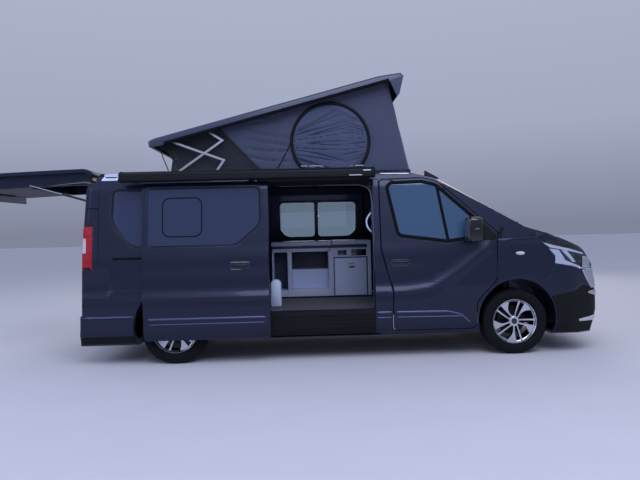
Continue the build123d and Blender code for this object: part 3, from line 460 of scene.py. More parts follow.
def flat_fill(outline, holes, cell):
    """Triangles that fill an outline with holes: points and index triples."""
    rings = [outline, *holes]
    points, edges = [], []
    for line in rings:
        start = len(points)
        points += line
        edges += [(start + i, start + (i + 1) % len(line)) for i in range(len(line))]
    low_x, high_x = min(p.x for p in outline), max(p.x for p in outline)
    low_y, high_y = min(p.y for p in outline), max(p.y for p in outline)
    near = cell * 0.45
    walls = [p for line in rings for p in line]
    buckets = {}
    for wall in walls:
        buckets.setdefault((round(wall.x / cell), round(wall.y / cell)), []).append(wall)
    for column in range(int((high_x - low_x) / cell)):
        for row in range(int((high_y - low_y) / cell)):
            here = Vector((low_x + (column + 0.5) * cell, low_y + (row + 0.5) * cell))
            key = (round(here.x / cell), round(here.y / cell))
            close = [
                w
                for i in (-1, 0, 1)
                for j in (-1, 0, 1)
                for w in buckets.get((key[0] + i, key[1] + j), [])
            ]
            if any((w - here).length < near for w in close):
                continue
            if inside(here, outline) and not any(inside(here, line) for line in holes):
                points.append(here)
    filled = delaunay_2d_cdt(points, edges, [], 0, 1e-6)
    corners, faces = filled[0], []
    for face in filled[2]:
        centre = (corners[face[0]] + corners[face[1]] + corners[face[2]]) / 3
        if inside(centre, outline) and not any(inside(centre, line) for line in holes):
            faces.append(tuple(face))
    return corners, faces


def spot(point):
    """A place on a drawing as a key, so that the same corner is found again."""
    return round(point.x, 5), round(point.y, 5)


def panel(
    name, outline, material, surface, raise_by=0.003, relief=None, edge=0.004, gap=0.0, cell=0.03,
    side=RIGHT, holes=(), body="body", slot=None,
):
    """A pressed panel: outline and holes as corners (x, z, radius), laid on surface(x, z)."""
    frame_line = shrunk(spaced(rounded(outline, True), cell), gap)
    hole_lines = [shrunk(spaced(rounded(hole, True), cell), -gap) for hole in holes]
    inner = shrunk(frame_line, edge)
    inner_holes = [shrunk(line, -edge) for line in hole_lines]
    flat, faces = flat_fill(inner, inner_holes, cell)

    def lifted(point, height):
        extra = relief(point.x, point.y) if relief else 0
        return at(point.x, side * (surface(point.x, point.y) + height + extra), point.y)

    points = [lifted(p, raise_by) for p in flat]
    if side == LEFT:
        faces = [tuple(reversed(f)) for f in faces]
    number_at = {spot(p): number for number, p in enumerate(flat)}
    for line, outer, turn in [(inner, frame_line, 1)] + [(a, b, -1) for a, b in zip(inner_holes, hole_lines)]:
        count = len(line)
        shoulder, foot = len(points), len(points) + count
        mids = [a.lerp(b, 0.75) for a, b in zip(line, outer)]
        points += [lifted(p, raise_by - edge * 0.3) for p in mids]
        points += [at(p.x, side * (surface(p.x, p.y) - 0.001), p.y) for p in outer]
        backwards = area(line) < 0
        for i in range(count):
            j = (i + 1) % count
            a, b = number_at.get(spot(line[i])), number_at.get(spot(line[j]))
            if a is None or b is None:
                continue
            quads = [(a, shoulder + i, shoulder + j, b), (shoulder + i, foot + i, foot + j, shoulder + j)]
            flip = ((turn == 1) == backwards) == (side == RIGHT)
            faces += [tuple(reversed(q)) if flip else q for q in quads]
    made = mesh_object(name, points, faces, material, body, slot)
    face_outwards(made.data, lambda face: face.normal.y * side)
    return made


# %% [markdown]
# The nose, the tail and the screens curve in other ways, so their panels are laid by a function
# that turns a place on the drawing and a height into a point.

# %% Panels laid by a function
def placed_panel(
    name, outline, material, place, raise_by=0.003, edge=0.004, cell=0.04, foot=-0.001, holes=(),
    body="body", slot=None,
):
    """A raised panel whose outline and holes are laid by place(a, b, height)."""
    line = spaced(rounded(outline, True), cell)
    hole_lines = [spaced(rounded(hole, True), cell) for hole in holes]
    inner = shrunk(line, edge)
    inner_holes = [shrunk(hole, -edge) for hole in hole_lines]
    flat, faces = flat_fill(inner, inner_holes, cell)
    points = [place(p.x, p.y, raise_by) for p in flat]
    number_at = {spot(p): number for number, p in enumerate(flat)}
    for ring, outer in [(inner, line), *zip(inner_holes, hole_lines)]:
        start, count = len(points), len(ring)
        points += [place(*a.lerp(b, 0.8), raise_by - edge * 0.5) for a, b in zip(ring, outer)]
        points += [place(p.x, p.y, foot) for p in outer]
        for index in range(count):
            on = (index + 1) % count
            a, b = number_at.get(spot(ring[index])), number_at.get(spot(ring[on]))
            if a is not None and b is not None:
                faces.append((a, b, start + on, start + index))
            faces.append((start + index, start + on, start + count + on, start + count + index))
    made = mesh_object(name, points, faces, material, body, slot)
    middle = flat[len(flat) // 2]
    outward = place(middle.x, middle.y, 0.1) - place(middle.x, middle.y, 0.0)
    face_outwards(made.data, lambda face: face.normal.dot(outward))
    return made


print("panel helpers ready")

# %% [markdown]
# The pressings that catch the light: under the windows the side rolls out to a soft shoulder,
# below it the panel is hollow, and low down a ledge stands out that sweeps up over the front
# wheel. Heights and lengths are read from the photograph.

# %% Shape of the pressings
def smooth_step(low, high, value):
    mix = min(1, max(0, (value - low) / (high - low)))
    return mix * mix * (3 - 2 * mix)


def ledge_height(x):
    """The height of the lower edge of the bright ledge along the van."""
    stops = [
        (-2, 0.667), (2.35, 0.660), (2.62, 0.690), (2.92, 0.873), (3.12, 1.03), (3.27, 1.138), (3.5, 1.2),
        (6, 1.22),
    ]
    for (x0, z0), (x1, z1) in zip(stops, stops[1:]):
        if x <= x1:
            return z0 + (z1 - z0) * (x - x0) / (x1 - x0)
    return stops[-1][1]


def pressing(x, z):
    """How far the pressing stands off the plain surface."""
    ledge = ledge_height(x)
    front = smooth_step(2.3, 3.1, x)
    band = 0.11 + 0.02 * front
    height = 0.010 * smooth_step(1.20, 1.06, z) * smooth_step(0.86, 1.03, z) * (1 - front)
    stands_out = 0.034 - 0.014 * front
    height += stands_out * smooth_step(ledge + band, ledge, z) * smooth_step(ledge - 0.05, ledge - 0.006, z)
    behind = smooth_step(-0.630, -0.605, x) * smooth_step(-0.10, -0.20, x)
    height += 0.030 * behind * smooth_step(1.060, 0.740, z) * smooth_step(0.690, 0.730, z)
    low = smooth_step(ledge - 0.006, ledge - 0.05, z) * 0.003
    return (height + low) * smooth_step(0.012, 0.11, abs(x - 3.310))


print("ledge at the door's front edge", round(ledge_height(3.27), 3))

# %% [markdown]
# The set is a plain pale floor, a soft sky and two large lights, so that the paint shows its
# own colour. The floor is rough, because a shiny one would mirror the van.

# %% Floor and light
light_target = Vector((0.2, 0, 1.2))


def make_set():
    floor_mesh = bpy.data.meshes.new("floor")
    floor_mesh.from_pydata(even_sided(70, -60, 60, 0), [], [(0, 1, 2, 3)])
    floor_mesh.materials.append(finish("pale_concrete", "#c4c5cf", 0.9, spread=0.03))
    floor = linked("floor", floor_mesh)
    world = bpy.data.worlds.new("sky")
    bpy.context.scene.world = world
    world.use_nodes = True
    tree = world.node_tree
    where = add(tree, "ShaderNodeTexCoord").outputs["Generated"]
    split = add(tree, "ShaderNodeSeparateXYZ", {0: where})
    ramp = add(tree, "ShaderNodeValToRGB", {0: split.outputs["Z"]})
    stops = ramp.color_ramp.elements
    stops[0].position, stops[0].color = 0.0, linear("#8d93aa")
    stops[1].position, stops[1].color = 0.16, linear("#b4bcd6")
    high = stops.new(0.6)
    high.color = linear("#c9d2ea")
    background = tree.nodes["Background"]
    tree.links.new(ramp.outputs["Color"], background.inputs["Color"])
    background.inputs["Strength"].default_value = 0.8
    for name, place, size, power, colour in (
        ("key", (1.5, -7.5, 8.5), 7, 620, "#e8ecff"),
        ("fill", (-8, -3, 5), 6, 200, "#dfe4ff"),
        ("back", (3, 8, 6), 8, 260, "#ffe9dd"),
    ):
        lamp = bpy.data.lights.new(name, "AREA")
        lamp.size, lamp.energy, lamp.color = size, power, linear(colour)[:3]
        light = linked(name, lamp)
        turn = (light_target - Vector(place)).to_track_quat("-Z", "Y")
        light.matrix_world = Matrix.Translation(place) @ turn.to_matrix().to_4x4()


make_set()

# %% [markdown]
# Every node of the solid model that stays in view gets its real finish. Pieces that are made
# anew further down replace theirs.

# %% Finishes of the solid model
node_finish = {
    "floor_pan": lining, "side_left": paint, "side_right": paint, "roof_frame": paint, "cab_frame": paint,
    "windscreen": front_screen, "side_glass": privacy_glass, "front_wings": paint, "front_bumper": paint,
    "rear_bumper": paint, "grille": gloss_black, "headlamps": clear_cover, "rear_lamps": red_acrylic,
    "sliding_door": paint, "sliding_door_glass": privacy_glass, "awning": black_steel,
    "kitchen_unit": laminate, "bench_seat": seat_cloth, "front_seats": seat_cloth, "dashboard": trim_grey,
    "steering_wheel": trim_grey, "engine_block": black_steel, "rear_axle": black_steel,
    "front_subframe": black_steel, "door_left": paint, "door_right": paint, "door_left_glass": side_screen,
    "door_right_glass": side_screen, "mirror_left": gloss_black, "mirror_right": gloss_black,
    "bonnet": paint, "tailgate": paint, "tailgate_glass": privacy_glass, "strut_tubes": black_steel,
    "strut_rods": anodised, "pop_roof_shell": shell_paint, "roof_canvas": canvas_cloth,
    "knuckle_left": black_steel, "knuckle_right": black_steel,
}
for name, node in nodes.items():
    chosen = node_finish.get(name)
    if name.startswith("scissor"):
        chosen = anodised
    if name.startswith("tyre"):
        chosen = tyre_rubber
    if name.startswith("rim"):
        chosen = machined
    node.data.materials.clear()
    node.data.materials.append(chosen)
print("dressed nodes", len(nodes))

# %% [markdown]
# The outlines of the body's panels, seen from the side: length and height in metres, and the
# radius of each corner. The wheel arches are arcs, so they are worked out from their centres.

# %% Panel outlines
arch_centre_z = 0.378
arch_radius = 0.405


def arc(centre_x, start, end, radius=arch_radius, steps=14):
    """Corners along a wheel arch, from one angle to another in degrees."""
    turns = [math.radians(start + (end - start) * i / steps) for i in range(steps + 1)]
    return [(centre_x + radius * math.cos(t), arch_centre_z + radius * math.sin(t), 0) for t in turns]


quarter_outline = [
    (0.833, 1.855, 0), (0.833, 0.262, 0),
    *arc(0, -16.6, 162, arch_radius + 0.004),
    (-0.905, 0.506, 0), (-0.892, 0.978, 0), (-0.792, 0.978, 0),
    (-0.792, 1.428, 0), (-0.850, 1.428, 0), (-0.825, 1.80, 0), (-0.79, 1.855, 0),
]
quarter_window = [
    (-0.400, 1.200, 0.16), (0.750, 1.200, 0.06), (0.750, 1.785, 0.06), (-0.600, 1.785, 0.06),
    (-0.615, 1.420, 0.30),
]
far_outline = [(2.110, 1.855, 0), (2.110, 0.262, 0), *quarter_outline[2:]]
far_window = oblong(1.000, 2.050, 1.215, 1.720, 0.08)
slide_outline = [(0.849, 0.259, 0.03), (2.106, 0.259, 0.03), (2.106, 1.838, 0.05), (0.849, 1.838, 0.05)]
slide_window = [
    (0.905, 1.200, 0.06), (1.780, 1.200, 0.16), (2.025, 1.400, 0.16), (2.025, 1.785, 0.06),
    (0.905, 1.785, 0.04),
]
door_outline = [
    (2.234, 0.290, 0.04), (3.085, 0.290, 0.06), (3.085, 0.560, 0.12), (3.305, 0.800, 0.12),
    (3.305, 1.165, 0.06), (3.322, 1.262, 0.01), (2.720, 1.806, 0.20), (2.560, 1.848, 0.20),
    (2.122, 1.838, 0.04), (2.122, 1.110, 0.20), (2.234, 0.700, 0.20),
]
door_window = [
    (2.300, 1.262, 0.06), (2.795, 1.192, 0.12), (3.268, 1.250, 0.02), (2.700, 1.772, 0.12),
    (2.560, 1.808, 0.08), (2.192, 1.798, 0.06),
]
front_arch_x = wheelbase + 0.012
wing_front = arc(front_arch_x, 46.5, 121, arch_radius + 0.004)
wing_outline = [
    (3.316, 1.20, 0), *reversed(wing_front), (3.940, 0.948, 0), (3.806, 1.158, 0), (3.70, 1.215, 0),
]
slide_move = Vector((-1.130, -0.078))
pillar_outline = [
    (2.046, 1.850, 0), (2.046, 0.262, 0), (2.226, 0.262, 0), (2.226, 0.700, 0.20), (2.114, 1.110, 0.20),
    (2.114, 1.850, 0),
]
pillar_foot = [(2.113, 1.080, 0), (2.113, 0.262, 0), (2.226, 0.262, 0), (2.226, 0.700, 0.20)]
print("corners of the quarter panel", len(quarter_outline))

# %% [markdown]
# The panels are pressed one after another. The sliding door stands open, so its panel is laid
# on the closed door's surface and moved by the travel of its rail.

# %% Body sides
def moved_surface(x, z):
    return side_y(x - slide_move.x, z) - slide_move.y


def moved_outline(corners):
    return [(x + slide_move.x, z, r) for x, z, r in corners]


def slide_pressing(x, z):
    return pressing(x - slide_move.x, z)


side_panels = [
    panel("quarter_panel_right", quarter_outline, paint, side_y, relief=pressing, holes=[quarter_window]),
    panel(
        "side_panel_left", far_outline, paint, side_y, relief=pressing, side=LEFT,
        holes=[quarter_window, far_window],
    ),
    panel(
        "slide_panel", moved_outline(slide_outline), paint, moved_surface, relief=slide_pressing,
        holes=[moved_outline(slide_window)],
    ),
]
side_panels.append(panel("pillar_panel_right", pillar_outline, paint, side_y, relief=pressing, gap=0.001))
side_panels.append(panel(
    "pillar_panel_left", pillar_foot, paint, side_y, relief=pressing, gap=0.001, side=LEFT,
))
for mark, side in SIDES:
    body_name = "door_" + mark
    side_panels.append(panel(
        "door_panel_" + mark, door_outline, paint, side_y, relief=pressing, gap=0.002, side=side,
        holes=[door_window], body=body_name,
    ))
    side_panels.append(panel(
        "wing_panel_" + mark, wing_outline, paint, side_y, relief=pressing, gap=0.001, side=side,
    ))
print("side panels", len(side_panels), "triangles", sum(len(p.data.polygons) for p in side_panels))

# %% [markdown]
# The wheels are cast alloy with five pairs of spokes, machined bright on the front and black
# in the pockets. One pair is modelled, and Geometry Nodes turns copies of it round the axle.

# %% Repeats made with Geometry Nodes
def turned_copies(seed, count, radius=0.0, name="copies"):
    """Copies of a seed piece about the Y axis, at a radius from it, made into one plain mesh."""
    group = bpy.data.node_groups.new(name, "GeometryNodeTree")
    face = group.interface
    face.new_socket("Seed", in_out="INPUT", socket_type="NodeSocketGeometry")
    face.new_socket("Count", in_out="INPUT", socket_type="NodeSocketInt")
    face.new_socket("Radius", in_out="INPUT", socket_type="NodeSocketFloat")
    face.new_socket("Result", in_out="OUTPUT", socket_type="NodeSocketGeometry")
    source = group.nodes.new("NodeGroupInput")
    result = group.nodes.new("NodeGroupOutput")
    line = add(group, "GeometryNodeMeshLine", {"Count": source.outputs["Count"], "Offset": (0, 0, 0)})
    number = add(group, "GeometryNodeInputIndex").outputs[0]
    turn = maths(group, "MULTIPLY", maths(group, "DIVIDE", number, source.outputs["Count"]), math.tau)
    out_x = maths(group, "MULTIPLY", maths(group, "SINE", turn), source.outputs["Radius"])
    out_z = maths(group, "MULTIPLY", maths(group, "COSINE", turn), source.outputs["Radius"])
    place = add(group, "ShaderNodeCombineXYZ", {"X": out_x, "Z": out_z})
    facing = add(group, "ShaderNodeCombineXYZ", {"Y": turn})
    moved = add(
        group, "GeometryNodeSetPosition", {"Geometry": line.outputs["Mesh"], "Position": place.outputs[0]},
    )
    copies = add(group, "GeometryNodeInstanceOnPoints", {
        "Points": moved.outputs["Geometry"], "Instance": source.outputs["Seed"],
        "Rotation": facing.outputs[0],
    })
    real = add(group, "GeometryNodeRealizeInstances", {"Geometry": copies.outputs["Instances"]})
    group.links.new(real.outputs["Geometry"], result.inputs["Result"])
    modifier = seed.modifiers.new(name, "NODES")
    modifier.node_group = group
    for item in face.items_tree:
        if item.in_out == "INPUT" and item.name == "Count":
            modifier[item.identifier] = count
        if item.in_out == "INPUT" and item.name == "Radius":
            modifier[item.identifier] = radius
    made = evaluated(seed)
    bpy.data.objects.remove(seed)
    return made


def loose_object(name, points, faces, materials):
    """A mesh object that a modifier can be put on before its mesh is used."""
    mesh = bpy.data.meshes.new(name)
    mesh.from_pydata([tuple(p) for p in points], [], faces)
    for material in materials:
        mesh.materials.append(material)
    return linked(name, mesh)


def spun(section, steps=72, closed=False):
    """A section (y, radius) turned about the Y axis: points and faces."""
    points, faces = [], []
    for step in range(steps):
        turn = math.tau * step / steps
        points += [Vector((r * math.sin(turn), y, r * math.cos(turn))) for y, r in section]
    count = len(section)
    runs = count if closed else count - 1
    for step in range(steps):
        other = (step + 1) % steps
        for index in range(runs):
            on = (index + 1) % count
            faces.append((step * count + index, step * count + on, other * count + on, other * count + index))
    return points, faces


# %% [markdown]
# A tyre keeps the solid model's shape. Its finish draws the tread, four grooves round it with
# blocks between them, and the fine rings and ribs of the sidewall, in real millimetres.

# %% Tyre rubber
wheel_centre_z = 0.338
groove_apart = 0.042
ring_apart = 0.011
blocks_round = 70.0
front_wheel_y = 0.8075
rear_wheel_y = 0.814


def tyre_finish(name, centre_x, centre_y, slot=""):
    material, tree, shader = new_material(name, slot)
    where = add(tree, "ShaderNodeTexCoord").outputs["Object"]
    centre = (centre_x, 0, wheel_centre_z)
    local = add(tree, "ShaderNodeVectorMath", {0: where, 1: centre}, operation="SUBTRACT")
    split = add(tree, "ShaderNodeSeparateXYZ", {0: local.outputs[0]})
    across = maths(tree, "SUBTRACT", maths(tree, "ABSOLUTE", split.outputs["Y"]), centre_y)
    squares = [maths(tree, "POWER", split.outputs[axis], 2.0) for axis in "XZ"]
    radius = maths(tree, "SQRT", maths(tree, "ADD", *squares))
    turn = maths(tree, "ARCTAN2", split.outputs["X"], split.outputs["Z"])
    groove = maths(tree, "COSINE", maths(tree, "MULTIPLY", across, math.tau / groove_apart))
    lean = maths(tree, "MULTIPLY", across, 40.0)
    block = maths(tree, "SINE", maths(tree, "MULTIPLY_ADD", turn, blocks_round, lean))
    groove_edge = ranged(tree, groove, 0.0, 1.0, -0.95, -0.6)
    block_edge = ranged(tree, block, 0.0, 1.0, -0.95, -0.7)
    tread = maths(tree, "MULTIPLY", groove_edge, block_edge)
    ring = maths(tree, "SINE", maths(tree, "MULTIPLY", radius, math.tau / ring_apart))
    ring_low = maths(tree, "MULTIPLY", ring, 0.12)
    on_tread = ranged(tree, radius, 0.0, 1.0, 0.322, 0.328)
    height = add(tree, "ShaderNodeMix", {0: on_tread, 2: ring_low, 3: tread}).outputs[0]
    bump = add(
        tree, "ShaderNodeBump", {"Height": height, "Strength": 0.9, "Distance": 0.006},
    ).outputs["Normal"]
    base = scaled_colour(tree, linear("#0b0c13")[:3], ranged(tree, noisy(tree, where, 14.0, 5.0), 0.8, 1.35))
    feed(tree, shader, Base_Color=base, Normal=bump, Roughness=0.8, Specular_IOR_Level=0.2)
    return material


front_tyre_rubber = tyre_finish("front_tyre_rubber", axle_x + wheelbase, front_wheel_y)
rear_tyre_rubber = tyre_finish("rear_tyre_rubber", axle_x, rear_wheel_y)
for mark in ("left", "right"):
    nodes["tyre_front_" + mark].data.materials[0] = front_tyre_rubber
    nodes["tyre_rear_" + mark].data.materials[0] = rear_tyre_rubber

# %% [markdown]
# The rim is turned from its section, as a cast wheel is on a lathe. A pair of spokes leaves
# the hub side by side and spreads towards the rim, where a web joins them to the next pair.

# %% Alloy wheels
face_out = 0.078


def spoke_seed():
    """A slim spoke and a spoke that widens to a blade at the rim, with a slot between them."""
    slim = [
        (-0.026, 0.043), (-0.034, 0.10), (-0.041, 0.16), (-0.048, 0.219), (-0.024, 0.222), (-0.021, 0.16),
        (-0.016, 0.10), (-0.010, 0.043),
    ]
    blade = [
        (0.006, 0.043), (0.013, 0.10), (0.018, 0.16), (0.022, 0.221), (0.056, 0.215), (0.088, 0.204),
        (0.118, 0.188),
        (0.104, 0.168), (0.074, 0.150), (0.048, 0.126), (0.034, 0.10), (0.024, 0.043),
    ]
    points, faces, marks = [], [], []
    for outline in (slim, blade):
        line = [Vector((-across, reach)) for across, reach in outline]
        face_line = shrunk(line, 0.002)
        start, count = len(points), len(line)
        for ring, drop in ((line, 0.036), (line, 0.004), (face_line, 0.0)):
            for corner in ring:
                dish = 0.008 * math.sin(math.pi * min(1, max(0, (corner.y - 0.043) / 0.18)))
                points.append(Vector((corner.x, face_out - drop - dish, corner.y)))
        for row in (0, 1):
            for index in range(count):
                on = (index + 1) % count
                low = start + row * count
                faces.append((low + index, low + on, low + count + on, low + count + index))
                marks.append(1 - row)
        for index in range(count // 2 - 1):
            top = start + 2 * count
            faces.append((top + index, top + index + 1, top + count - 2 - index, top + count - 1 - index))
            marks.append(0)
    seed = loose_object("spoke_seed", points, faces, [machined, gloss_black])
    for polygon, mark in zip(seed.data.polygons, marks):
        polygon.material_index = mark
    return seed


def bolt_seed():
    points, faces = spun(
        [
            (face_out - 0.030, 0.0001), (face_out - 0.012, 0.0001), (face_out - 0.012, 0.007),
            (face_out - 0.014, 0.009), (face_out - 0.030, 0.009),
        ],
        12,
    )
    return loose_object("bolt_seed", points, faces, [anodised])


def joined(name, meshes):
    """Several meshes as one."""
    builder = bmesh.new()
    materials = []
    for mesh in meshes:
        offset = len(builder.faces)
        builder.from_mesh(mesh)
        builder.faces.ensure_lookup_table()
        for face in builder.faces[offset:]:
            material = mesh.materials[min(face.material_index, len(mesh.materials) - 1)]
            if material not in materials:
                materials.append(material)
            face.material_index = materials.index(material)
    bmesh.ops.recalc_face_normals(builder, faces=builder.faces)
    made = bpy.data.meshes.new(name)
    builder.to_mesh(made)
    builder.free()
    for material in materials:
        made.materials.append(material)
    return made


def section_mesh(name, section, material, steps=72, closed=False):
    points, faces = spun(section, steps, closed)
    mesh = bpy.data.meshes.new(name)
    mesh.from_pydata([tuple(p) for p in points], [], faces)
    mesh.materials.append(material)
    return mesh


wheel_mesh = joined("alloy_wheel", [
    turned_copies(spoke_seed(), 5, name="spokes_round_axle"),
    turned_copies(bolt_seed(), 5, 0.041, name="bolts_round_axle"),
    section_mesh(
        "barrel",
        [
            (-0.095, 0.226), (-0.090, 0.2285), (-0.080, 0.222), (-0.06, 0.206), (0.05, 0.204),
            (0.078, 0.214), (0.088, 0.2285), (0.0945, 0.226),
        ],
        gloss_black,
    ),
    section_mesh(
        "lip", [(0.0935, 0.2275), (0.0945, 0.2245), (0.086, 0.2175), (0.076, 0.2135), (0.070, 0.206)],
        machined,
    ),
    section_mesh(
        "hub_cover",
        [
            (face_out - 0.03, 0.056), (face_out - 0.008, 0.053), (face_out - 0.003, 0.046),
            (face_out - 0.003, 0.030),
        ],
        machined, 48,
    ),
    section_mesh(
        "cap",
        [
            (face_out - 0.004, 0.030), (face_out + 0.001, 0.026), (face_out + 0.002, 0.016),
            (face_out + 0.002, 0.0001),
        ],
        gloss_black, 48,
    ),
    section_mesh(
        "brake_disc", [(-0.030, 0.06), (-0.030, 0.148), (-0.044, 0.148), (-0.044, 0.06)], black_steel, 64,
        True,
    ),
    section_mesh(
        "hub", [(-0.060, 0.05), (-0.028, 0.062), (0.03, 0.062), (0.048, 0.072), (0.048, 0.0001)],
        black_steel, 40,
    ),
])
wheels = []
wheel_places = (
    ("front_right", wheelbase, -front_wheel_y), ("rear_right", 0, -rear_wheel_y),
    ("front_left", wheelbase, front_wheel_y), ("rear_left", 0, rear_wheel_y),
)
for mark, x, y in wheel_places:
    mesh = wheel_mesh.copy()
    side_turn = Matrix.Identity(4) if y > 0 else Matrix.Rotation(math.pi, 4, "Z")
    start_turn = Matrix.Rotation(math.radians(-25 if x else 8), 4, "Y")
    mesh.transform(Matrix.Translation(at(x, y, wheel_centre_z)) @ side_turn @ start_turn)
    mesh.update()
    wheel = linked("alloy_wheel_" + mark, mesh)
    mesh.shade_smooth()
    mesh.set_sharp_from_angle(angle=math.radians(28))
    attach(wheel, "wheel_" + mark)
    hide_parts("rim_" + mark)
    wheels.append(wheel)
print("wheels", len(wheels), "triangles each", len(wheels[0].data.polygons))

# %% [markdown]
# Round each window the body is painted black on the glass or carries a black rubber frame.
# These frames are thin rings, laid on the glass and the metal where the two meet.

# %% Window frames
def frame_ring(
    name, corners, wide_out, wide_in, surface, height, body, side=RIGHT, material=frit, open_behind=-9.0,
):
    """A thin ring along an outline, so far out and so far in, left open behind a value of x."""
    middle = spaced(rounded(corners, True, 8), 0.03)
    outer, inner = shrunk(middle, -wide_out), shrunk(middle, wide_in)
    lines = [
        (outer, 0.0), (outer, height), (shrunk(middle, -wide_out + 0.003), height + 0.0015),
        (shrunk(middle, wide_in - 0.003), height), (inner, height - 0.003),
    ]
    count = len(middle)
    points = [at(p.x, side * (surface(p.x, p.y) + rise), p.y) for line, rise in lines for p in line]
    faces = []
    for face in bands(len(lines) - 1, count):
        if min(middle[corner % count].x for corner in face) > open_behind:
            faces.append(face)
    made = mesh_object(name, points, faces, material, body, "black_plastic")
    face_outwards(made.data, lambda face: face.normal.y * side)
    return made


frames = [
    frame_ring("quarter_frame_right", quarter_window, 0.004, 0.008, side_y, 0.003, "body"),
    frame_ring("quarter_frame_left", quarter_window, 0.004, 0.008, side_y, 0.003, "body", LEFT),
    frame_ring("far_frame_left", far_window, 0.006, 0.030, side_y, 0.004, "body", LEFT),
    frame_ring(
        "slide_frame", moved_outline(slide_window), 0.004, 0.009, moved_surface, 0.003, "body",
        open_behind=min(x for x, z, r in moved_outline(slide_window)) + 0.012,
    ),
]
for mark, side in SIDES:
    frames.append(frame_ring(
        "door_frame_" + mark, door_window, 0.020, 0.014, side_y, 0.005, "door_" + mark, side, seal_rubber,
    ))
print("window frames", len(frames))


def laid_bar(
    name, start, end, width, height, surface, material, side=RIGHT, steps=12, base=0.0, ends=0.0,
    body="body", slot=None,
):
    """A raised strip between two places (x, z) on a surface, with a rounded top."""
    run = Vector(end) - Vector(start)
    across = Vector((-run.y, run.x)).normalized() * width / 2
    points = []
    ribs = 7
    for step in range(steps + 1):
        mix = step / steps
        here = Vector(start) + run * mix
        fade = 1.0
        if ends > 0:
            edge = min(mix, 1 - mix) * run.length
            fade = math.sqrt(max(0.02, 1 - (1 - min(1, edge / ends)) ** 2))
        for turn in range(ribs):
            angle = math.pi * turn / (ribs - 1)
            place = here + across * math.cos(angle) * fade
            rise = base + height * math.sin(angle) * fade
            points.append(at(place.x, side * (surface(place.x, place.y) + rise), place.y))
    faces = bands(steps, ribs, closed=False)
    faces += [tuple(range(ribs)), tuple(reversed(range(steps * ribs, steps * ribs + ribs)))]
    if side == RIGHT:
        faces = [tuple(reversed(face)) for face in faces]
    return mesh_object(name, points, faces, material, body, slot)


# %% [markdown]
# A front side window is in two panes with a bar between them, and the foot of its front corner
# is a black sail that carries the mirror. Low on the doors and sills run two slim mouldings, in a
# paint lighter than the body's: their bright lines are painted highlights.

# %% Bars, sails and mouldings
sail = [
    (2.960, 1.206, 0.02), (3.290, 1.180, 0.02), (3.300, 1.255, 0.01), (3.130, 1.412, 0.03),
    (3.060, 1.42, 0.08),
]
# A lighter copy of the body paint: a painted highlight for the bright lines of mouldings and edges.
moulding_highlight_paint = finish("lightened_enamel_painted_highlight", "#4d5780", 0.3, 0.4, spread=0.04, Coat_Weight=0.4, slot="paint")


def moulding(name, start, end, wide, high, surface, body, side, steps=24, ends=0.05):
    return laid_bar(
        name, start, end, wide, high, surface, moulding_highlight_paint, side, steps, 0.002, ends, body=body,
    )


trims = []
for mark, side in SIDES:
    body_name = "door_" + mark
    trims.append(laid_bar(
        "window_bar_" + mark, (2.715, 1.765), (2.806, 1.200), 0.030, 0.004, side_y, seal_rubber, side,
        body=body_name,
    ))
    trims.append(panel(
        "mirror_sail_" + mark, sail, polypropylene, side_y, raise_by=0.009, edge=0.006, side=side,
        body=body_name,
    ))
    trims.append(moulding(
        "door_moulding_" + mark, (2.25, 0.478), (2.82, 0.472), 0.022, 0.010, side_y, body_name, side,
    ))
    trims.append(moulding(
        "door_low_moulding_" + mark, (2.25, 0.425), (2.96, 0.420), 0.012, 0.007, side_y, body_name, side,
    ))
trims.append(moulding(
    "slide_moulding", (-0.255, 0.478), (0.955, 0.478), 0.022, 0.010, moved_surface, "body", RIGHT,
))
trims.append(moulding(
    "slide_low_moulding", (-0.255, 0.425), (0.955, 0.425), 0.012, 0.007, moved_surface, "body", RIGHT,
))
trims.append(moulding("side_moulding_left", (0.46, 0.478), (2.08, 0.478), 0.022, 0.010, side_y, "body", LEFT))
for mark, high, wide in (("", 0.478, 0.022), ("_low", 0.425, 0.012)):
    trims.append(moulding(
        "pillar_moulding" + mark, (2.056, high), (2.216, high), wide, 0.009, side_y, "body", RIGHT, 12, 0.01,
    ))
print("bars and mouldings", len(trims))

# %% [markdown]
# A door handle is a grip over a dark hollow. The grip is a bowed bar whose ends run down to
# the panel.

# %% Door handles
def door_handle(name, x, z, surface, body, side=RIGHT):
    cup = oblong(x - 0.105, x + 0.105, z - 0.032, z + 0.032, 0.03)
    made = [panel(
        name + "_cup", cup, gloss_black, surface, raise_by=0.0045, edge=0.003, side=side,
        relief=pressing_for(surface), body=body,
    )]
    grip_surface = raised_surface(surface)
    made.append(laid_bar(
        name + "_grip", (x - 0.100, z + 0.004), (x + 0.100, z + 0.004), 0.026, 0.030, grip_surface, paint,
        side, 20, 0.006, 0.075, body=body,
    ))
    return made


def pressing_for(surface):
    return slide_pressing if surface is moved_surface else pressing


def raised_surface(surface):
    """A surface with its pressing added, for pieces that sit on the pressed panel."""
    relief = pressing_for(surface)
    return lambda x, z: surface(x, z) + relief(x, z) + 0.003


handles = door_handle("slide_handle", 0.690, 0.995, moved_surface, "body")
for mark, side in SIDES:
    handles += door_handle("door_handle_" + mark, 2.310, 0.985, side_y, "door_" + mark, side)
print("handle pieces", len(handles))

# %% [markdown]
# The wing carries an oval lamp that repeats the turn signal.

# %% Repeaters
repeaters = []
for mark, side in SIDES:
    wing_skin = raised_surface(side_y)
    repeaters.append(laid_bar(
        "repeater_" + mark, (3.497, 1.047), (3.587, 1.047), 0.036, 0.012, wing_skin, white_acrylic, side, 16,
        0.0, 0.03,
    ))
print("repeaters", len(repeaters))

# %% [markdown]
# The rear windows are privacy glass. On the far side the daylight comes through them, so that
# window is two clear panes in a black mask, as they are seen through the open door.

# %% Panes
def pane_surface(x, z):
    return side_y(x, z) - 0.006


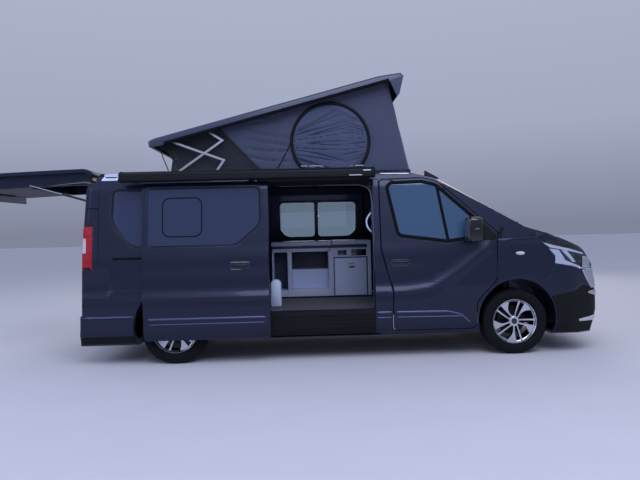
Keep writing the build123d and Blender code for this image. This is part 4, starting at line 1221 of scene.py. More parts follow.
far_panes = [
    [(1.020, 1.240, 0.16), (1.480, 1.240, 0.05), (1.480, 1.705, 0.05), (1.020, 1.705, 0.05)],
    [(1.525, 1.240, 0.05), (2.035, 1.240, 0.16), (2.035, 1.705, 0.05), (1.525, 1.705, 0.05)],
]
panes = [
    panel("quarter_glass_right", quarter_window, privacy_glass, pane_surface, raise_by=0.0, edge=0.002),
    panel(
        "quarter_glass_left", quarter_window, privacy_glass, pane_surface, raise_by=0.0, edge=0.002,
        side=LEFT,
    ),
    panel(
        "far_mask", far_window, frit, pane_surface, raise_by=0.0, edge=0.002, side=LEFT, holes=far_panes,
        slot="glass",
    ),
]
for number, corners in enumerate(far_panes):
    panes.append(panel(
        "far_pane_" + "ab"[number], corners, far_glass, pane_surface, raise_by=-0.001, edge=0.001, side=LEFT,
    ))
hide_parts("side_glass")
small_pane = oblong(-0.077, 0.312, 1.299, 1.686, 0.07)
frame_ring("small_pane_rim", small_pane, 0.005, 0.005, moved_surface, 0.002, "body", RIGHT, seal_rubber)
print("panes", len(panes))

# %% [markdown]
# The roof shell is a moulded cap. It is drawn as slices from its middle out to its edge: near
# the edge the top of its outline sinks along a quarter circle, and the lower rim stays square.
# The room inside is then cut out of it, and its faces get the felt of the lining.

# %% Roof shell
shell_anchor = Vector((-0.040, 2.275))
roof_angle = math.radians(14.6)
shell_half = 0.740
room_wall = 0.025
shell_outline = [
    (-0.222, 0.015, 0.012), (-0.060, 0.000, 0), (2.395, 0.000, 0), (2.420, -0.158, 0.008),
    (2.452, -0.158, 0.008),
    (2.548, 0.020, 0.020), (2.538, 0.062, 0.020), (2.300, 0.090, 0.6), (-0.160, 0.096, 0.25),
    (-0.225, 0.080, 0.025),
]
shell_room = [
    (-0.190, -0.200, 0), (2.421, -0.200, 0), (2.510, 0.020, 0.01), (2.500, 0.042, 0.01), (2.300, 0.060, 0.5),
    (-0.150, 0.064, 0.2), (-0.195, 0.052, 0.01),
]


def tilted(x, z):
    """A place on the roof shell, measured from its rear anchor, as (x, z) with the roof raised."""
    cosine, sine = math.cos(roof_angle), math.sin(roof_angle)
    return Vector((shell_anchor.x + x * cosine - z * sine, shell_anchor.y + x * sine + z * cosine))


def slices(lines, places):
    """A closed body through several outlines (x, z) of one length, each at its own y."""
    count = len(lines[0])
    points = [at(p.x, y, p.y) for line, y in zip(lines, places) for p in line]
    ends = [tuple(reversed(range(count))), tuple(range(len(points) - count, len(points)))]
    return points, ends + bands(len(lines) - 1, count)


def cut_out(name, solid, tool):
    """A solid with a tool's shape cut out of it, as a plain mesh."""
    for piece in (solid, tool):
        face_outwards(piece.data)
    cut = solid.modifiers.new("cut", "BOOLEAN")
    cut.object = tool
    cut.solver = "EXACT"
    mesh = evaluated(solid)
    mesh.name = name
    for piece in (solid, tool):
        bpy.data.objects.remove(piece)
    return mesh


def in_room(x, y, z):
    """Whether a place, measured along the tilted shell, lies on a wall of the room inside it."""
    between = abs(y) < shell_half - room_wall + 0.0005 and z < 0.0665 and -0.197 < x < 2.512
    return between and not (x > 2.42 and z < x * 2 - 5.02)


def make_shell():
    outline = rounded(shell_outline, True, 5)
    lines, places = [], []
    edge = 0.040
    levels = [math.pi / 2 * step / 7 for step in range(8)]
    for level in levels:
        sunk = edge * (1 - math.cos(level))
        small = shrunk(outline, sunk)
        line = []
        for whole, less in zip(outline, small):
            upper = smooth_step(0.018, 0.040, whole.y)
            mixed = whole.lerp(less, upper)
            line.append(tilted(mixed.x, mixed.y))
        lines.append(line)
        places.append(shell_half - edge + edge * math.sin(level))
    lines = list(reversed(lines)) + lines
    places = [-y for y in reversed(places)] + places
    points, faces = slices(lines, places)
    solid = loose_object("shell_solid", points, faces, [shell_paint])
    room = [tilted(p.x, p.y) for p in rounded(shell_room, True, 4)]
    points, faces = slices([room, room], [room_wall - shell_half, shell_half - room_wall])
    tool = loose_object("shell_room", points, faces, [lining])
    mesh = cut_out("roof_cap", solid, tool)
    mesh.materials.clear()
    mesh.materials.append(shell_paint)
    mesh.materials.append(lining)
    for polygon in mesh.polygons:
        centre = polygon.center
        x, z = centre.x - axle_x - shell_anchor.x, centre.z - shell_anchor.y
        low_x = x * math.cos(roof_angle) + z * math.sin(roof_angle)
        low_z = z * math.cos(roof_angle) - x * math.sin(roof_angle)
        polygon.material_index = 1 if in_room(low_x, centre.y, low_z) else 0
    made = linked("roof_cap", mesh)
    mesh.shade_smooth()
    mesh.set_sharp_from_angle(angle=math.radians(35))
    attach(made, "pop_roof")
    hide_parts("pop_roof_shell")
    return made


roof_cap = make_shell()
print("roof cap faces", len(roof_cap.data.polygons))

# %% [markdown]
# The canvas is one continuous sheet round the sleeping room. Each of its threads up runs from
# the roof's curb to the shell's rim. It hangs slack between them by a centimetre or two, is
# creased towards the window, and its darker rear part is a line in the finish.

# %% Canvas
canvas_low = 1.957
canvas_half = 0.648
canvas_rear, canvas_front = -0.066, 2.486
window_middle = Vector((1.640, 2.268))
window_reach = Vector((0.412, 0.405))
window_foot = 1.990


def canvas_ring():
    """Places round the sheet: foot (x, y) and a share from the rear to the front end."""
    rear, front = [(x, canvas_half, 0.05) for x in (canvas_rear, canvas_front)]
    corners = [(rear[0], -canvas_half, 0.05), (front[0], -canvas_half, 0.05), front, rear]
    return spaced(rounded(corners, True, 5), 0.016)


def share_along(x):
    """How far along the sheet a place is, from 0 at the rear to 1 at the front."""
    return (x - canvas_rear) / (canvas_front - canvas_rear)


def shell_rim(share):
    """Where the sheet meets the shell, at a share of the way from its rear to its front."""
    return tilted(-0.150, 0.022).lerp(tilted(2.395, 0.022), share)


def canvas_point(foot, rise):
    """A point of the plain sheet: how far up it is runs from 0 at the curb to 1 at the shell."""
    share = share_along(foot.x)
    head = shell_rim(share)
    x = foot.x + (head.x - foot.x) * rise
    z = canvas_low + (head.y - canvas_low) * rise
    if share < 0.03:
        bend = smooth_step(0, 0.62, rise)
        x = foot.x + 0.022 * bend + (head.x - foot.x - 0.022) * max(0, (rise - 0.6) / 0.4)
    return Vector((x, foot.y, z))


def dark_edge(z):
    """Where the darker rear cloth ends, along the van, at a height."""
    stops = [
        (1.9, 0.985), (1.997, 0.890), (2.155, 0.721), (2.253, 0.638), (2.331, 0.572), (2.390, 0.517),
        (2.6, 0.30),
    ]
    for (z0, x0), (z1, x1) in zip(stops, stops[1:]):
        if z <= z1:
            return x0 + (x1 - x0) * (z - z0) / (z1 - z0)
    return stops[-1][1]


def canvas_sink(x, z, rise):
    """How far the cloth hangs inside its plane."""
    slack = 0.014 * math.sin(math.pi * min(1, max(0, rise))) ** 0.8
    fold = noise.noise(Vector((x * 1.3, z * 11.0 + x * 0.8, 3.1)))
    near_window = math.exp(-max(0, abs(x - 1.0) - 0.2) * 4) * smooth_step(0.62, 0.9, x)
    creases = 0.024 * math.exp(-(fold / 0.10) ** 2) * near_window * smooth_step(1.35, 1.1, x)
    pull = noise.noise(Vector((x * 2.2 + z * 1.6, z * 2.0, 7.7))) * 0.005
    seam = 0.004 * math.exp(-((x - 2.215 - (z - 1.957) * -0.16) / 0.006) ** 2)
    tuck = 0.022 * smooth_step(0.02, -0.05, x - dark_edge(z)) * math.sin(math.pi * rise)
    return slack + creases + pull + seam + tuck


def make_canvas():
    ring = canvas_ring()
    rows = 34
    points = []
    count = len(ring)
    for row in range(rows + 1):
        rise = row / rows
        for foot in ring:
            here = canvas_point(foot, rise)
            on_side = abs(foot.y) > canvas_half - 0.03
            inward = 1 if foot.y > 0 else -1
            if on_side:
                here.y -= inward * canvas_sink(here.x, here.z, rise)
            else:
                slack = 0.012 * math.sin(math.pi * rise) * math.cos(math.pi * foot.y / 1.4)
                here.x += slack if foot.x < 1 else -slack
                here.x += noise.noise(Vector((foot.y * 2, here.z * 6, 1.0))) * 0.004
            points.append(at(here.x, here.y, here.z))
    made = mesh_object("canvas_wall", points, bands(rows, count), canvas_cloth, "body", "canvas")
    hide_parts("roof_canvas")
    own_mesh(made)
    return made


canvas = make_canvas()
print("canvas faces", len(canvas.data.polygons))

# %% [markdown]
# Each side has a round-headed window, closed by a loose cover inside a thick zipped rim. The
# cover is cut wider than the opening, so it gathers: its creases run in from the left and the
# right edge and die out towards the middle.

# %% Window covers
def window_edge(turn):
    """A place on the window's rim for an angle; the foot is cut straight."""
    place = window_middle + Vector((math.cos(turn) * window_reach.x, math.sin(turn) * window_reach.y))
    place.y = max(place.y, window_foot)
    return place


def wall_plane(x, z):
    """How far out the sheet's plane lies there, with the slack that it hangs by."""
    head = shell_rim(share_along(x))
    rise = (z - canvas_low) / max(0.05, head.y - canvas_low)
    return canvas_half - canvas_sink(x, z, rise)


def cover_height(x, z):
    """The gathered cover stands out of its plane in creases that fan out from both edges."""
    local = Vector(((x - window_middle.x) / window_reach.x, (z - window_middle.y) / window_reach.y))
    fan_left = math.atan2(local.y + 0.10, local.x + 1.75)
    fan_right = math.atan2(local.y + 0.05, 1.9 - local.x)
    left = noise.noise(Vector((fan_left * 13.0, local.x * 0.55, 0.3)))
    right = noise.noise(Vector((fan_right * 17.0, local.x * 0.6, 5.3)))
    valley_left = math.exp(-(left / 0.085) ** 2) * smooth_step(0.85, -0.5, local.x)
    valley_right = math.exp(-(right / 0.07) ** 2) * smooth_step(0.05, 0.8, local.x)
    swell = 0.5 + noise.noise(Vector((local.x * 1.4, local.y * 3.2, 9.0)))
    rim_share = smooth_step(1.0, 0.86, local.length)
    return 0.006 + rim_share * (0.018 + 0.012 * swell - 0.024 * valley_left - 0.020 * valley_right)


covers = []
for mark, side in SIDES:
    rim = [window_edge(math.tau * step / 96 - math.pi / 2) for step in range(96)]
    rim = [p for number, p in enumerate(rim) if (p - rim[number - 1]).length > 0.004]
    flat, faces = flat_fill(rim, [], 0.0085)
    points = [at(p.x, side * (wall_plane(p.x, p.y) + cover_height(p.x, p.y)), p.y) for p in flat]
    cover = mesh_object("window_cover_" + mark, points, faces, mesh_cloth, "body", "canvas")
    points, faces = [], []
    ribs = 8
    rim = [p for p in rim if p.y > window_foot + 0.001]
    first = min(range(len(rim)), key=lambda n: (rim[n].y, -rim[n].x))
    rim = rim[first:] + rim[:first]
    if rim[1].y < rim[-1].y:
        rim = rim[1:] + rim[:1]
    for number, p in enumerate(rim):
        outward = (p - window_middle).normalized()
        for rib in range(ribs):
            angle = math.tau * rib / ribs
            place = p + outward * 0.017 * math.cos(angle)
            points.append(at(
                place.x, side * (wall_plane(p.x, p.y) + 0.010 + 0.016 * math.sin(angle)), place.y,
            ))
    for number in range(len(rim) - 1):
        on = number + 1
        for rib in range(ribs):
            up = (rib + 1) % ribs
            faces.append((number * ribs + rib, on * ribs + rib, on * ribs + up, number * ribs + up))
    band = mesh_object("window_rim_" + mark, points, faces, polypropylene, "body", "canvas")
    face_outwards(band.data)
    for piece in (cover, band):
        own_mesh(piece)
        covers.append(piece)
print("window pieces", len(covers))

# %% [markdown]
# A webbing strap with a metal tag runs down beside each window, and a pale zip tape crosses its
# foot. A black rubber seal runs along the shell's lower edge, and its dark band also stands for
# the shade under the shell's rim: painted shade.

# %% Strap, tape and seal
def wall_strip(name, start, end, width, height, side, material, lift=0.004):
    return laid_bar(name, start, end, width, height, wall_plane, material, side, 24, lift, slot="canvas")


roof_trims = []
for mark, side in SIDES:
    roof_trims += [
        wall_strip("strap_upper_" + mark, (1.330, 2.540), (1.210, 2.241), 0.014, 0.003, side, polypropylene),
        wall_strip("strap_lower_" + mark, (1.210, 2.241), (1.075, 2.000), 0.012, 0.003, side, polypropylene),
        wall_strip("strap_tag_" + mark, (1.325, 2.528), (1.339, 2.566), 0.009, 0.004, side, anodised, 0.006),
        wall_strip(
            "zip_tape_" + mark, (1.320, 2.012), (1.985, 2.006), 0.014, 0.003, side, light_cloth, 0.024,
        ),
    ]
for piece in roof_trims:
    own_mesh(piece)


# The black seal also paints the shade under the shell's rim.
def shell_seal(name, side):
    section = [
        (0.000, -0.004), (0.0035, -0.003), (0.0045, 0.010), (0.0045, 0.026), (0.003, 0.030), (0.000, 0.030),
    ]
    steps = 20
    points = []
    for x in [-0.060 + 2.448 * step / steps for step in range(steps + 1)]:
        for out, high in section:
            place = tilted(x, high)
            points.append(at(place.x, side * (shell_half - 0.001 + out), place.y))
    faces = bands(steps, len(section), closed=False)
    made = mesh_object(name, points, faces, seal_rubber, "pop_roof", "black_plastic")
    face_outwards(made.data)
    return made


roof_trims += [shell_seal("shell_seal_right", RIGHT), shell_seal("shell_seal_left", LEFT)]
print("roof trims", len(roof_trims))

# %% [markdown]
# Furniture is made of boards with slightly rounded edges. One list gives each board's lowest and
# highest corner, so a whole cabinet is one piece whose boards keep their own finishes.

# %% Boards
def boards(name, parts, body, edge=0.004):
    """Blocks (low, high, finish) with rounded edges, as one piece."""
    builder = bmesh.new()
    materials = []
    for low, high, material in parts:
        if material not in materials:
            materials.append(material)
        start = len(builder.faces)
        low_at, high_at = at(*low), at(*high)
        made = bmesh.ops.create_cube(builder, size=1.0)
        middle, size = (low_at + high_at) / 2, high_at - low_at
        for vertex in made["verts"]:
            vertex.co = Vector([c * s + m for c, s, m in zip(vertex.co, size, middle)])
        edges = list({e for v in made["verts"] for e in v.link_edges})
        bmesh.ops.bevel(
            builder, geom=edges, offset=min(edge, min(size) * 0.3), segments=2, profile=0.6, affect="EDGES",
        )
        builder.faces.ensure_lookup_table()
        for face in builder.faces:
            if face.index == -1 or face.index >= start:
                face.material_index = materials.index(material)
        builder.faces.index_update()
    mesh = bpy.data.meshes.new(name)
    builder.to_mesh(mesh)
    builder.free()
    for material in materials:
        mesh.materials.append(material)
    made = linked(name, mesh)
    mesh.shade_smooth()
    mesh.set_sharp_from_angle(angle=math.radians(30))
    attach(made, body)
    return made


# %% [markdown]
# The kitchen stands along the far wall. Its worktop has a light edge over a dark groove. Below
# are an open shelf with a step in it, a bay beside that, and the fridge under its controls.

# %% Kitchen
kitchen_parts = [
    ((0.932, 0.286, 1.140), (1.668, 0.878, 1.190), laminate),
    ((1.680, 0.286, 1.146), (2.150, 0.878, 1.196), laminate),
    ((0.938, 0.306, 1.104), (2.140, 0.870, 1.142), laminate_edge),
    ((0.938, 0.292, 1.066), (1.650, 0.320, 1.106), laminate),
    ((0.938, 0.292, 0.520), (0.960, 0.878, 1.106), laminate),
    ((1.126, 0.292, 0.520), (1.178, 0.640, 1.068), laminate),
    ((1.628, 0.292, 0.520), (1.690, 0.640, 1.106), laminate),
    ((1.178, 0.636, 0.520), (1.630, 0.648, 1.068), laminate_edge),
    ((0.958, 0.560, 0.520), (1.128, 0.572, 1.068), laminate_edge),
    ((1.178, 0.430, 0.610), (1.630, 0.636, 0.845), fridge_skin),
    ((1.178, 0.292, 0.520), (1.630, 0.636, 0.612), laminate),
    ((0.958, 0.300, 0.520), (1.128, 0.560, 0.600), laminate),
    ((0.945, 0.330, 0.500), (2.150, 0.870, 0.524), trim_grey),
    ((0.938, 0.866, 0.520), (2.150, 0.880, 1.140), laminate_edge),
    ((1.690, 0.292, 0.994), (2.112, 0.312, 1.106), laminate),
    ((1.690, 0.300, 0.510), (2.112, 0.860, 0.994), laminate_edge),
    ((1.702, 0.284, 0.524), (2.092, 0.306, 0.980), fridge_skin),
    ((2.108, 0.288, 0.520), (2.150, 0.870, 1.146), laminate),
    ((1.742, 0.287, 1.018), (1.850, 0.296, 1.078), gloss_black),
    ((1.906, 0.286, 1.010), (2.090, 0.296, 1.086), gloss_black),
    ((1.962, 0.2845, 1.028), (2.032, 0.290, 1.068), trim_grey),
    ((1.862, 0.280, 0.850), (1.958, 0.286, 0.928), laminate),
    ((1.882, 0.2785, 0.862), (1.938, 0.282, 0.880), gloss_black),
    ((1.880, 0.2785, 0.908), (1.940, 0.282, 0.914), laminate_edge),
    ((1.030, 0.340, 1.190), (1.330, 0.820, 1.197), gloss_black),
    ((1.345, 0.340, 1.190), (1.630, 0.820, 1.197), gloss_black),
]
for number in range(3):
    kitchen_parts.append((
        (1.752 + number * 0.034, 0.2835, 1.034), (1.772 + number * 0.034, 0.288, 1.060), trim_grey,
    ))
kitchen = boards("kitchen_cabinet", kitchen_parts, "body")
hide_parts("kitchen_unit")


def rounded_board(name, outline, low_y, high_y, material, edge=0.006, body="body", slot=None):
    """A board whose outline is drawn from the side, with rounded corners and eased edges."""
    line = rounded(outline, True, 8)
    small = shrunk(line, edge)
    points, faces = slices([small, line, line, small], [low_y, low_y + edge, high_y - edge, high_y])
    made = mesh_object(name, points, faces, material, body, slot)
    face_outwards(made.data)
    made.data.set_sharp_from_angle(angle=math.radians(50))
    return made


bench_end_outline = [(0.957, 0.502, 0.02), (1.073, 0.502, 0.02), (1.073, 0.800, 0.055), (0.957, 0.800, 0.055)]
bench_end = rounded_board("bench_end", bench_end_outline, -0.520, -0.380, laminate, 0.012)
print("kitchen boards", len(kitchen_parts))

# %% [markdown]
# A rod bent between two feet makes the grab handle at the door pillar. The same helper sweeps a
# round bar along any smooth line, so it also makes the steering wheel's rim and the wipers.

# %% Swept bars
def swept(name, path, radius, material, ribs=10, flat=1.0, closed=False, body="body", slot=None):
    """A round bar along a line of points; flat below 1 squeezes it in height."""
    points, faces = [], []
    count = len(path)
    for index, here in enumerate(path):
        back = path[index - 1] if index or closed else here
        on = path[(index + 1) % count] if index < count - 1 or closed else here
        run = (on - back).normalized()
        first = run.cross(Vector((0, 0, 1)))
        first = first.normalized() if first.length > 0.01 else Vector((1, 0, 0))
        second = first.cross(run).normalized()
        for rib in range(ribs):
            angle = math.tau * rib / ribs
            points.append(here + first * math.cos(angle) * radius + second * math.sin(angle) * radius * flat)
    for index in range(count if closed else count - 1):
        on = (index + 1) % count
        for rib in range(ribs):
            up = (rib + 1) % ribs
            faces.append((index * ribs + rib, on * ribs + rib, on * ribs + up, index * ribs + up))
    if not closed:
        faces.append(tuple(reversed(range(ribs))))
        faces.append(tuple(range((count - 1) * ribs, count * ribs)))
    made = mesh_object(name, points, faces, material, body, slot)
    face_outwards(made.data)
    return made


def bowed(start, middle, end, steps=16):
    """Points of a smooth bow through three places."""
    line = []
    for step in range(steps + 1):
        mix = step / steps
        line.append(
            start * (1 - mix) * (1 - 2 * mix) + middle * 4 * mix * (1 - mix) + end * mix * (2 * mix - 1)
        )
    return line


grab_line = bowed(at(2.035, -0.850, 1.300), at(1.985, -0.845, 1.400), at(2.035, -0.850, 1.500))
swept("grab_handle", grab_line, 0.009, laminate)
print("swept bars ready")

# %% [markdown]
# The nose curves both ways, so its pieces are drawn on it by the turn round a pole inside the
# bonnet and the height. A table of places on the skin is worked out once and read between.

# %% Skin of the nose
pole = Vector((3.300, 0.0))
turn_step, rise_step = 2.0, 0.02
turn_count, rise_count = 54, 60
rise_low = 0.14


def reach_from_pole(turn, z):
    """How far the skin is from the pole at a turn in degrees and a height, by halving."""
    low, high = 0.05, 1.6
    way = Vector((math.cos(math.radians(turn)), math.sin(math.radians(turn))))
    for _ in range(16):
        middle = (low + high) / 2
        if middle * way.y < side_y(pole.x + middle * way.x, z):
            low = middle
        else:
            high = middle
    return low


skin_table = [
    [reach_from_pole(i * turn_step, rise_low + j * rise_step) for j in range(rise_count)]
    for i in range(turn_count)
]


def skin(turn, z, height=0.0, side=RIGHT):
    """A place on the nose: turn in degrees from straight ahead, height above the ground."""
    i = min(turn_count - 1.001, max(0, abs(turn) / turn_step))
    j = min(rise_count - 1.001, max(0, (z - rise_low) / rise_step))
    a, b = int(i), int(j)
    u, v = i - a, j - b
    reach = (skin_table[a][b] * (1 - u) * (1 - v) + skin_table[a + 1][b] * u * (1 - v)
             + skin_table[a][b + 1] * (1 - u) * v + skin_table[a + 1][b + 1] * u * v) + height
    angle = math.radians(turn)
    return at(pole.x + reach * math.cos(angle), side * reach * math.sin(angle), z)


def skin_piece(name, outline, material, height, edge=0.004, side=RIGHT, cell=0.02, slot=None):
    """A raised piece on the nose; corners are (turn in degrees, z, radius)."""
    corners = [(math.radians(turn), z, radius) for turn, z, radius in outline]

    def place(turn, z, out):
        return skin(math.degrees(turn), z, out, side)

    return placed_panel(name, corners, material, place, height, edge, cell, -0.002, slot=slot)


print("skin straight ahead at bumper height", round(skin(0, 0.6).x - axle_x, 3))

# %% [markdown]
# The bumper is painted above and bare black below, and a gap parts it from the wing. The grille
# has slats with bright edges, and its opening is framed. There is no badge, and the plate is blank.

# %% Front end
lower_bumper_low = 0.215
bumper_parting = 0.60
bumper_arch_radius = 0.412
bumper_side_y = 0.936
arch_edge = []
for turn in (46, 38, 30, 22, 14, 6, -4, -14):
    x, z, radius = arc(front_arch_x, turn, turn, bumper_arch_radius, 1)[0]
    arch_edge.append((math.degrees(math.atan2(bumper_side_y, x - pole.x)), z, radius))
upper_arch = [corner for corner in arch_edge if corner[1] > bumper_parting]
lower_arch = [corner for corner in arch_edge if corner[1] < bumper_parting]
nose_pieces = []
for mark, side in SIDES:
    nose_pieces += [
        skin_piece(
            "bumper_upper_" + mark,
            [
                (56.2, 0.926, 0.01), *upper_arch, (58.4, 0.605, 0), (47, 0.640, 0.05), (42, 0.700, 0.05),
                (33, 0.640, 0.05), (27.5, 0.640, 0.01), (27.0, 0.840, 0.02), (38.0, 0.842, 0.02),
                (47, 0.888, 0.05),
            ],
            paint, 0.004, side=side, cell=0.03,
        ),
        skin_piece(
            "bumper_lower_" + mark,
            [
                (58.4, 0.602, 0), *lower_arch, (56.5, lower_bumper_low, 0.02), (30, lower_bumper_low, 0),
                (0, lower_bumper_low, 0), (0, 0.600, 0), (27.0, 0.600, 0), (33, 0.636, 0.05),
                (42, 0.696, 0.05), (47, 0.636, 0.05),
            ],
            polypropylene, 0.006, side=side, cell=0.03,
        ),
        skin_piece(
            "fog_strip_" + mark,
            [(45.0, 0.318, 0.005), (45.0, 0.342, 0.005), (33.5, 0.368, 0.008), (33.5, 0.310, 0.008)],
            white_acrylic, 0.012, side=side,
        ),
        skin_piece(
            "grille_frame_" + mark,
            [(25.8, 0.655, 0.02), (25.6, 0.965, 0.02), (22.6, 0.965, 0.01), (22.4, 0.655, 0.01)], anodised,
            0.014, side=side,
        ),
        skin_piece(
            "grille_side_edge_" + mark,
            [
                (42.4, 0.850, 0.010), (36.5, 0.866, 0.010), (31.0, 0.700, 0.020), (31.2, 0.655, 0.010),
                (36.8, 0.655, 0.010), (39.8, 0.745, 0.040),
            ],
            anodised, 0.012, side=side,
        ),
        skin_piece(
            "bumper_corner_light_" + mark,
            [(39.5, 0.606, 0.010), (37.5, 0.628, 0.006), (30.0, 0.632, 0.006), (30.5, 0.552, 0.010)],
            anodised, 0.012, side=side, slot="lamp",
        ),
    ]


def front_bar(name, z, half_turn, height, out, material, steps=40):
    """A bar across the nose at one height, with a rounded front and ends that run into the skin."""
    points = []
    ribs = 7
    for step in range(steps + 1):
        turn = -half_turn + 2 * half_turn * step / steps
        fade = min(1.0, (half_turn - abs(turn)) / 1.5 + 0.3)
        for rib in range(ribs):
            angle = math.pi * rib / (ribs - 1)
            points.append(skin(
                turn, z + math.cos(angle) * height / 2 * fade, out * math.sin(angle) * fade - 0.012,
            ))
    made = mesh_object(name, points, bands(steps, ribs, closed=False), material)
    face_outwards(made.data)
    return made


for number, z in enumerate((0.690, 0.748, 0.806, 0.864, 0.922)):
    nose_pieces.append(front_bar("grille_slat_" + str(number), z, 22.5, 0.026, 0.022, gloss_black))
    nose_pieces.append(front_bar("grille_bright_edge_" + str(number), z + 0.013, 22.3, 0.005, 0.024, chrome))
nose_pieces.append(front_bar("grille_top_bar", 0.968, 25.2, 0.018, 0.030, chrome))
nose_pieces.append(front_bar("lower_intake_bar", 0.300, 24, 0.030, 0.026, gloss_black))
nose_pieces.append(front_bar("lower_intake_bar_high", 0.385, 24, 0.020, 0.024, gloss_black))


def plate(name, place, material, body="body"):
    """A blank number plate: a thin sheet with a raised rim, laid where place(across, up, out) says."""
    points = []
    rows = ((0.260, 0.055, 0.000), (0.260, 0.055, 0.005), (0.257, 0.052, 0.006), (0.254, 0.049, 0.0045))
    columns = 12
    for half_wide, half_high, out in rows:
        ring = [(-half_wide + 2 * half_wide * i / columns, -half_high) for i in range(columns)]
        ring += [(half_wide, -half_high), (half_wide, half_high)]
        ring += [(half_wide - 2 * half_wide * i / columns, half_high) for i in range(1, columns)]
        ring += [(-half_wide, half_high)]
        points += [place(across, up, out) for across, up in ring]
    count = len(points) // len(rows)
    faces = bands(len(rows) - 1, count)
    base = (len(rows) - 1) * count
    for index in range(columns):
        faces.append((base + index, base + index + 1, base + count - 2 - index, base + count - 1 - index))
    made = mesh_object(name, points, faces, material, body, "trim")
    face_outwards(made.data)
    return made


def front_place(across, up, out):
    turn = math.degrees(math.atan2(across, 1.15))
    return skin(turn, 0.507 + up, 0.010 + out)


nose_pieces.append(plate("front_plate_blank", front_place, plate_white))
for mark, side in SIDES:
    nose_pieces.append(skin_piece(
        "wing_top_" + mark,
        [
            (67, 1.172, 0.01), (61, 1.170, 0.01), (52, 1.142, 0.02), (46, 1.108, 0.01), (46, 1.128, 0.01),
            (50, 1.172, 0.02), (56, 1.236, 0.02), (66, 1.258, 0.01),
        ],
        paint, 0.003, side=side, cell=0.03,
    ))
print("nose pieces", len(nose_pieces))

# %% [markdown]
# A headlamp is a dark bowl under its cover. In it lie a bright light guide shaped like a hook, a
# slanted blade beside it, a long bright eyebrow, two lens housings and their bezels.

# %% Headlamps
lamp_bowl = finish("lamp_bowl_plastic", "#3a4258", 0.22, 0.5, spread=0.03)
guide_white = finish("light_guide_acrylic", "#a9b1c4", 0.15, spread=0.02, Coat_Weight=0.6)
nodes["headlamps"].data.materials[0] = lamp_bowl
lamps = []
for mark, side in SIDES:
    def lamp_piece(name, outline, material, height):
        lamps.append(skin_piece(name + "_" + mark, outline, material, height, 0.003, side, slot="lamp"))

    lamp_piece(
        "lamp_eyebrow",
        [
            (64.0, 1.158, 0.002), (59.2, 1.128, 0.01), (50.0, 1.078, 0.01), (42.0, 1.030, 0.005),
            (42.0, 1.012, 0.005), (50.0, 1.052, 0.01), (59.5, 1.096, 0.01),
        ],
        guide_white, 0.010,
    )
    lamp_piece(
        "lamp_dark_band",
        [
            (62.0, 1.185, 0.004), (50.0, 1.130, 0.01), (40.0, 1.060, 0.01), (40.0, 1.036, 0.005),
            (50.0, 1.082, 0.01), (59.5, 1.132, 0.01),
        ],
        gloss_black, 0.006,
    )
    lamp_piece("lamp_guide", [
        (60.0, 1.086, 0.004), (56.6, 1.004, 0.03), (57.2, 0.934, 0.012), (49.0, 0.900, 0.02),
        (44.6, 0.872, 0.006),
        (44.2, 0.892, 0.006), (48.4, 0.925, 0.02), (52.4, 0.962, 0.02), (53.6, 1.010, 0.03),
        (55.4, 1.070, 0.006),
    ], guide_white, 0.012)
    lamp_piece(
        "lamp_blade",
        [(54.0, 1.066, 0.004), (51.6, 1.062, 0.004), (46.6, 0.938, 0.004), (48.4, 0.938, 0.004)],
        guide_white, 0.010,
    )
    lamp_piece(
        "lamp_lens_bezel",
        [(49.5, 1.035, 0.02), (43.0, 1.005, 0.02), (43.0, 0.930, 0.02), (46.0, 0.930, 0.02)], gloss_black,
        0.008,
    )
    lamp_piece(
        "lamp_surround",
        [
            (27.4, 0.856, 0.01), (37.2, 0.858, 0.01), (43.6, 0.888, 0.01), (43.2, 1.008, 0.02),
            (37.0, 0.990, 0.02), (27.4, 0.972, 0.01),
        ],
        gloss_black, 0.005,
    )
    lamp_piece(
        "lamp_inner_blade",
        [(42.0, 1.000, 0.01), (37.6, 0.975, 0.01), (37.6, 0.868, 0.01), (42.4, 0.880, 0.01)], anodised,
        0.009,
    )
    lamp_piece(
        "lamp_lower_edge",
        [(44.6, 0.868, 0.003), (37.2, 0.852, 0.003), (37.2, 0.864, 0.003), (44.2, 0.884, 0.003)], chrome,
        0.012,
    )
    lamp_piece(
        "lamp_inner_lens",
        [(36.0, 0.978, 0.03), (29.5, 0.965, 0.03), (29.5, 0.880, 0.03), (36.0, 0.875, 0.03)], lamp_bowl,
        0.010,
    )
    lamp_piece(
        "lamp_inner_ring",
        [(34.6, 0.965, 0.03), (31.0, 0.962, 0.03), (31.0, 0.905, 0.03), (34.6, 0.902, 0.03)], clear_cover,
        0.013,
    )
print("lamp pieces", len(lamps))

# %% [markdown]
# Cushions are made the way upholsterers make them: a foam block in a sewn cover. The block is
# meshed evenly, blown up a little as cloth under pressure, held to a small swelling, and flat
# where it rests. Then seams and sewn channels are pressed into it.

# %% Cushions
def evenly_meshed(piece, cell):
    """The piece's mesh remade of small even faces."""
    even = piece.modifiers.new("even", "REMESH")
    even.mode = "VOXEL"
    even.voxel_size = cell
    return evaluated(piece)


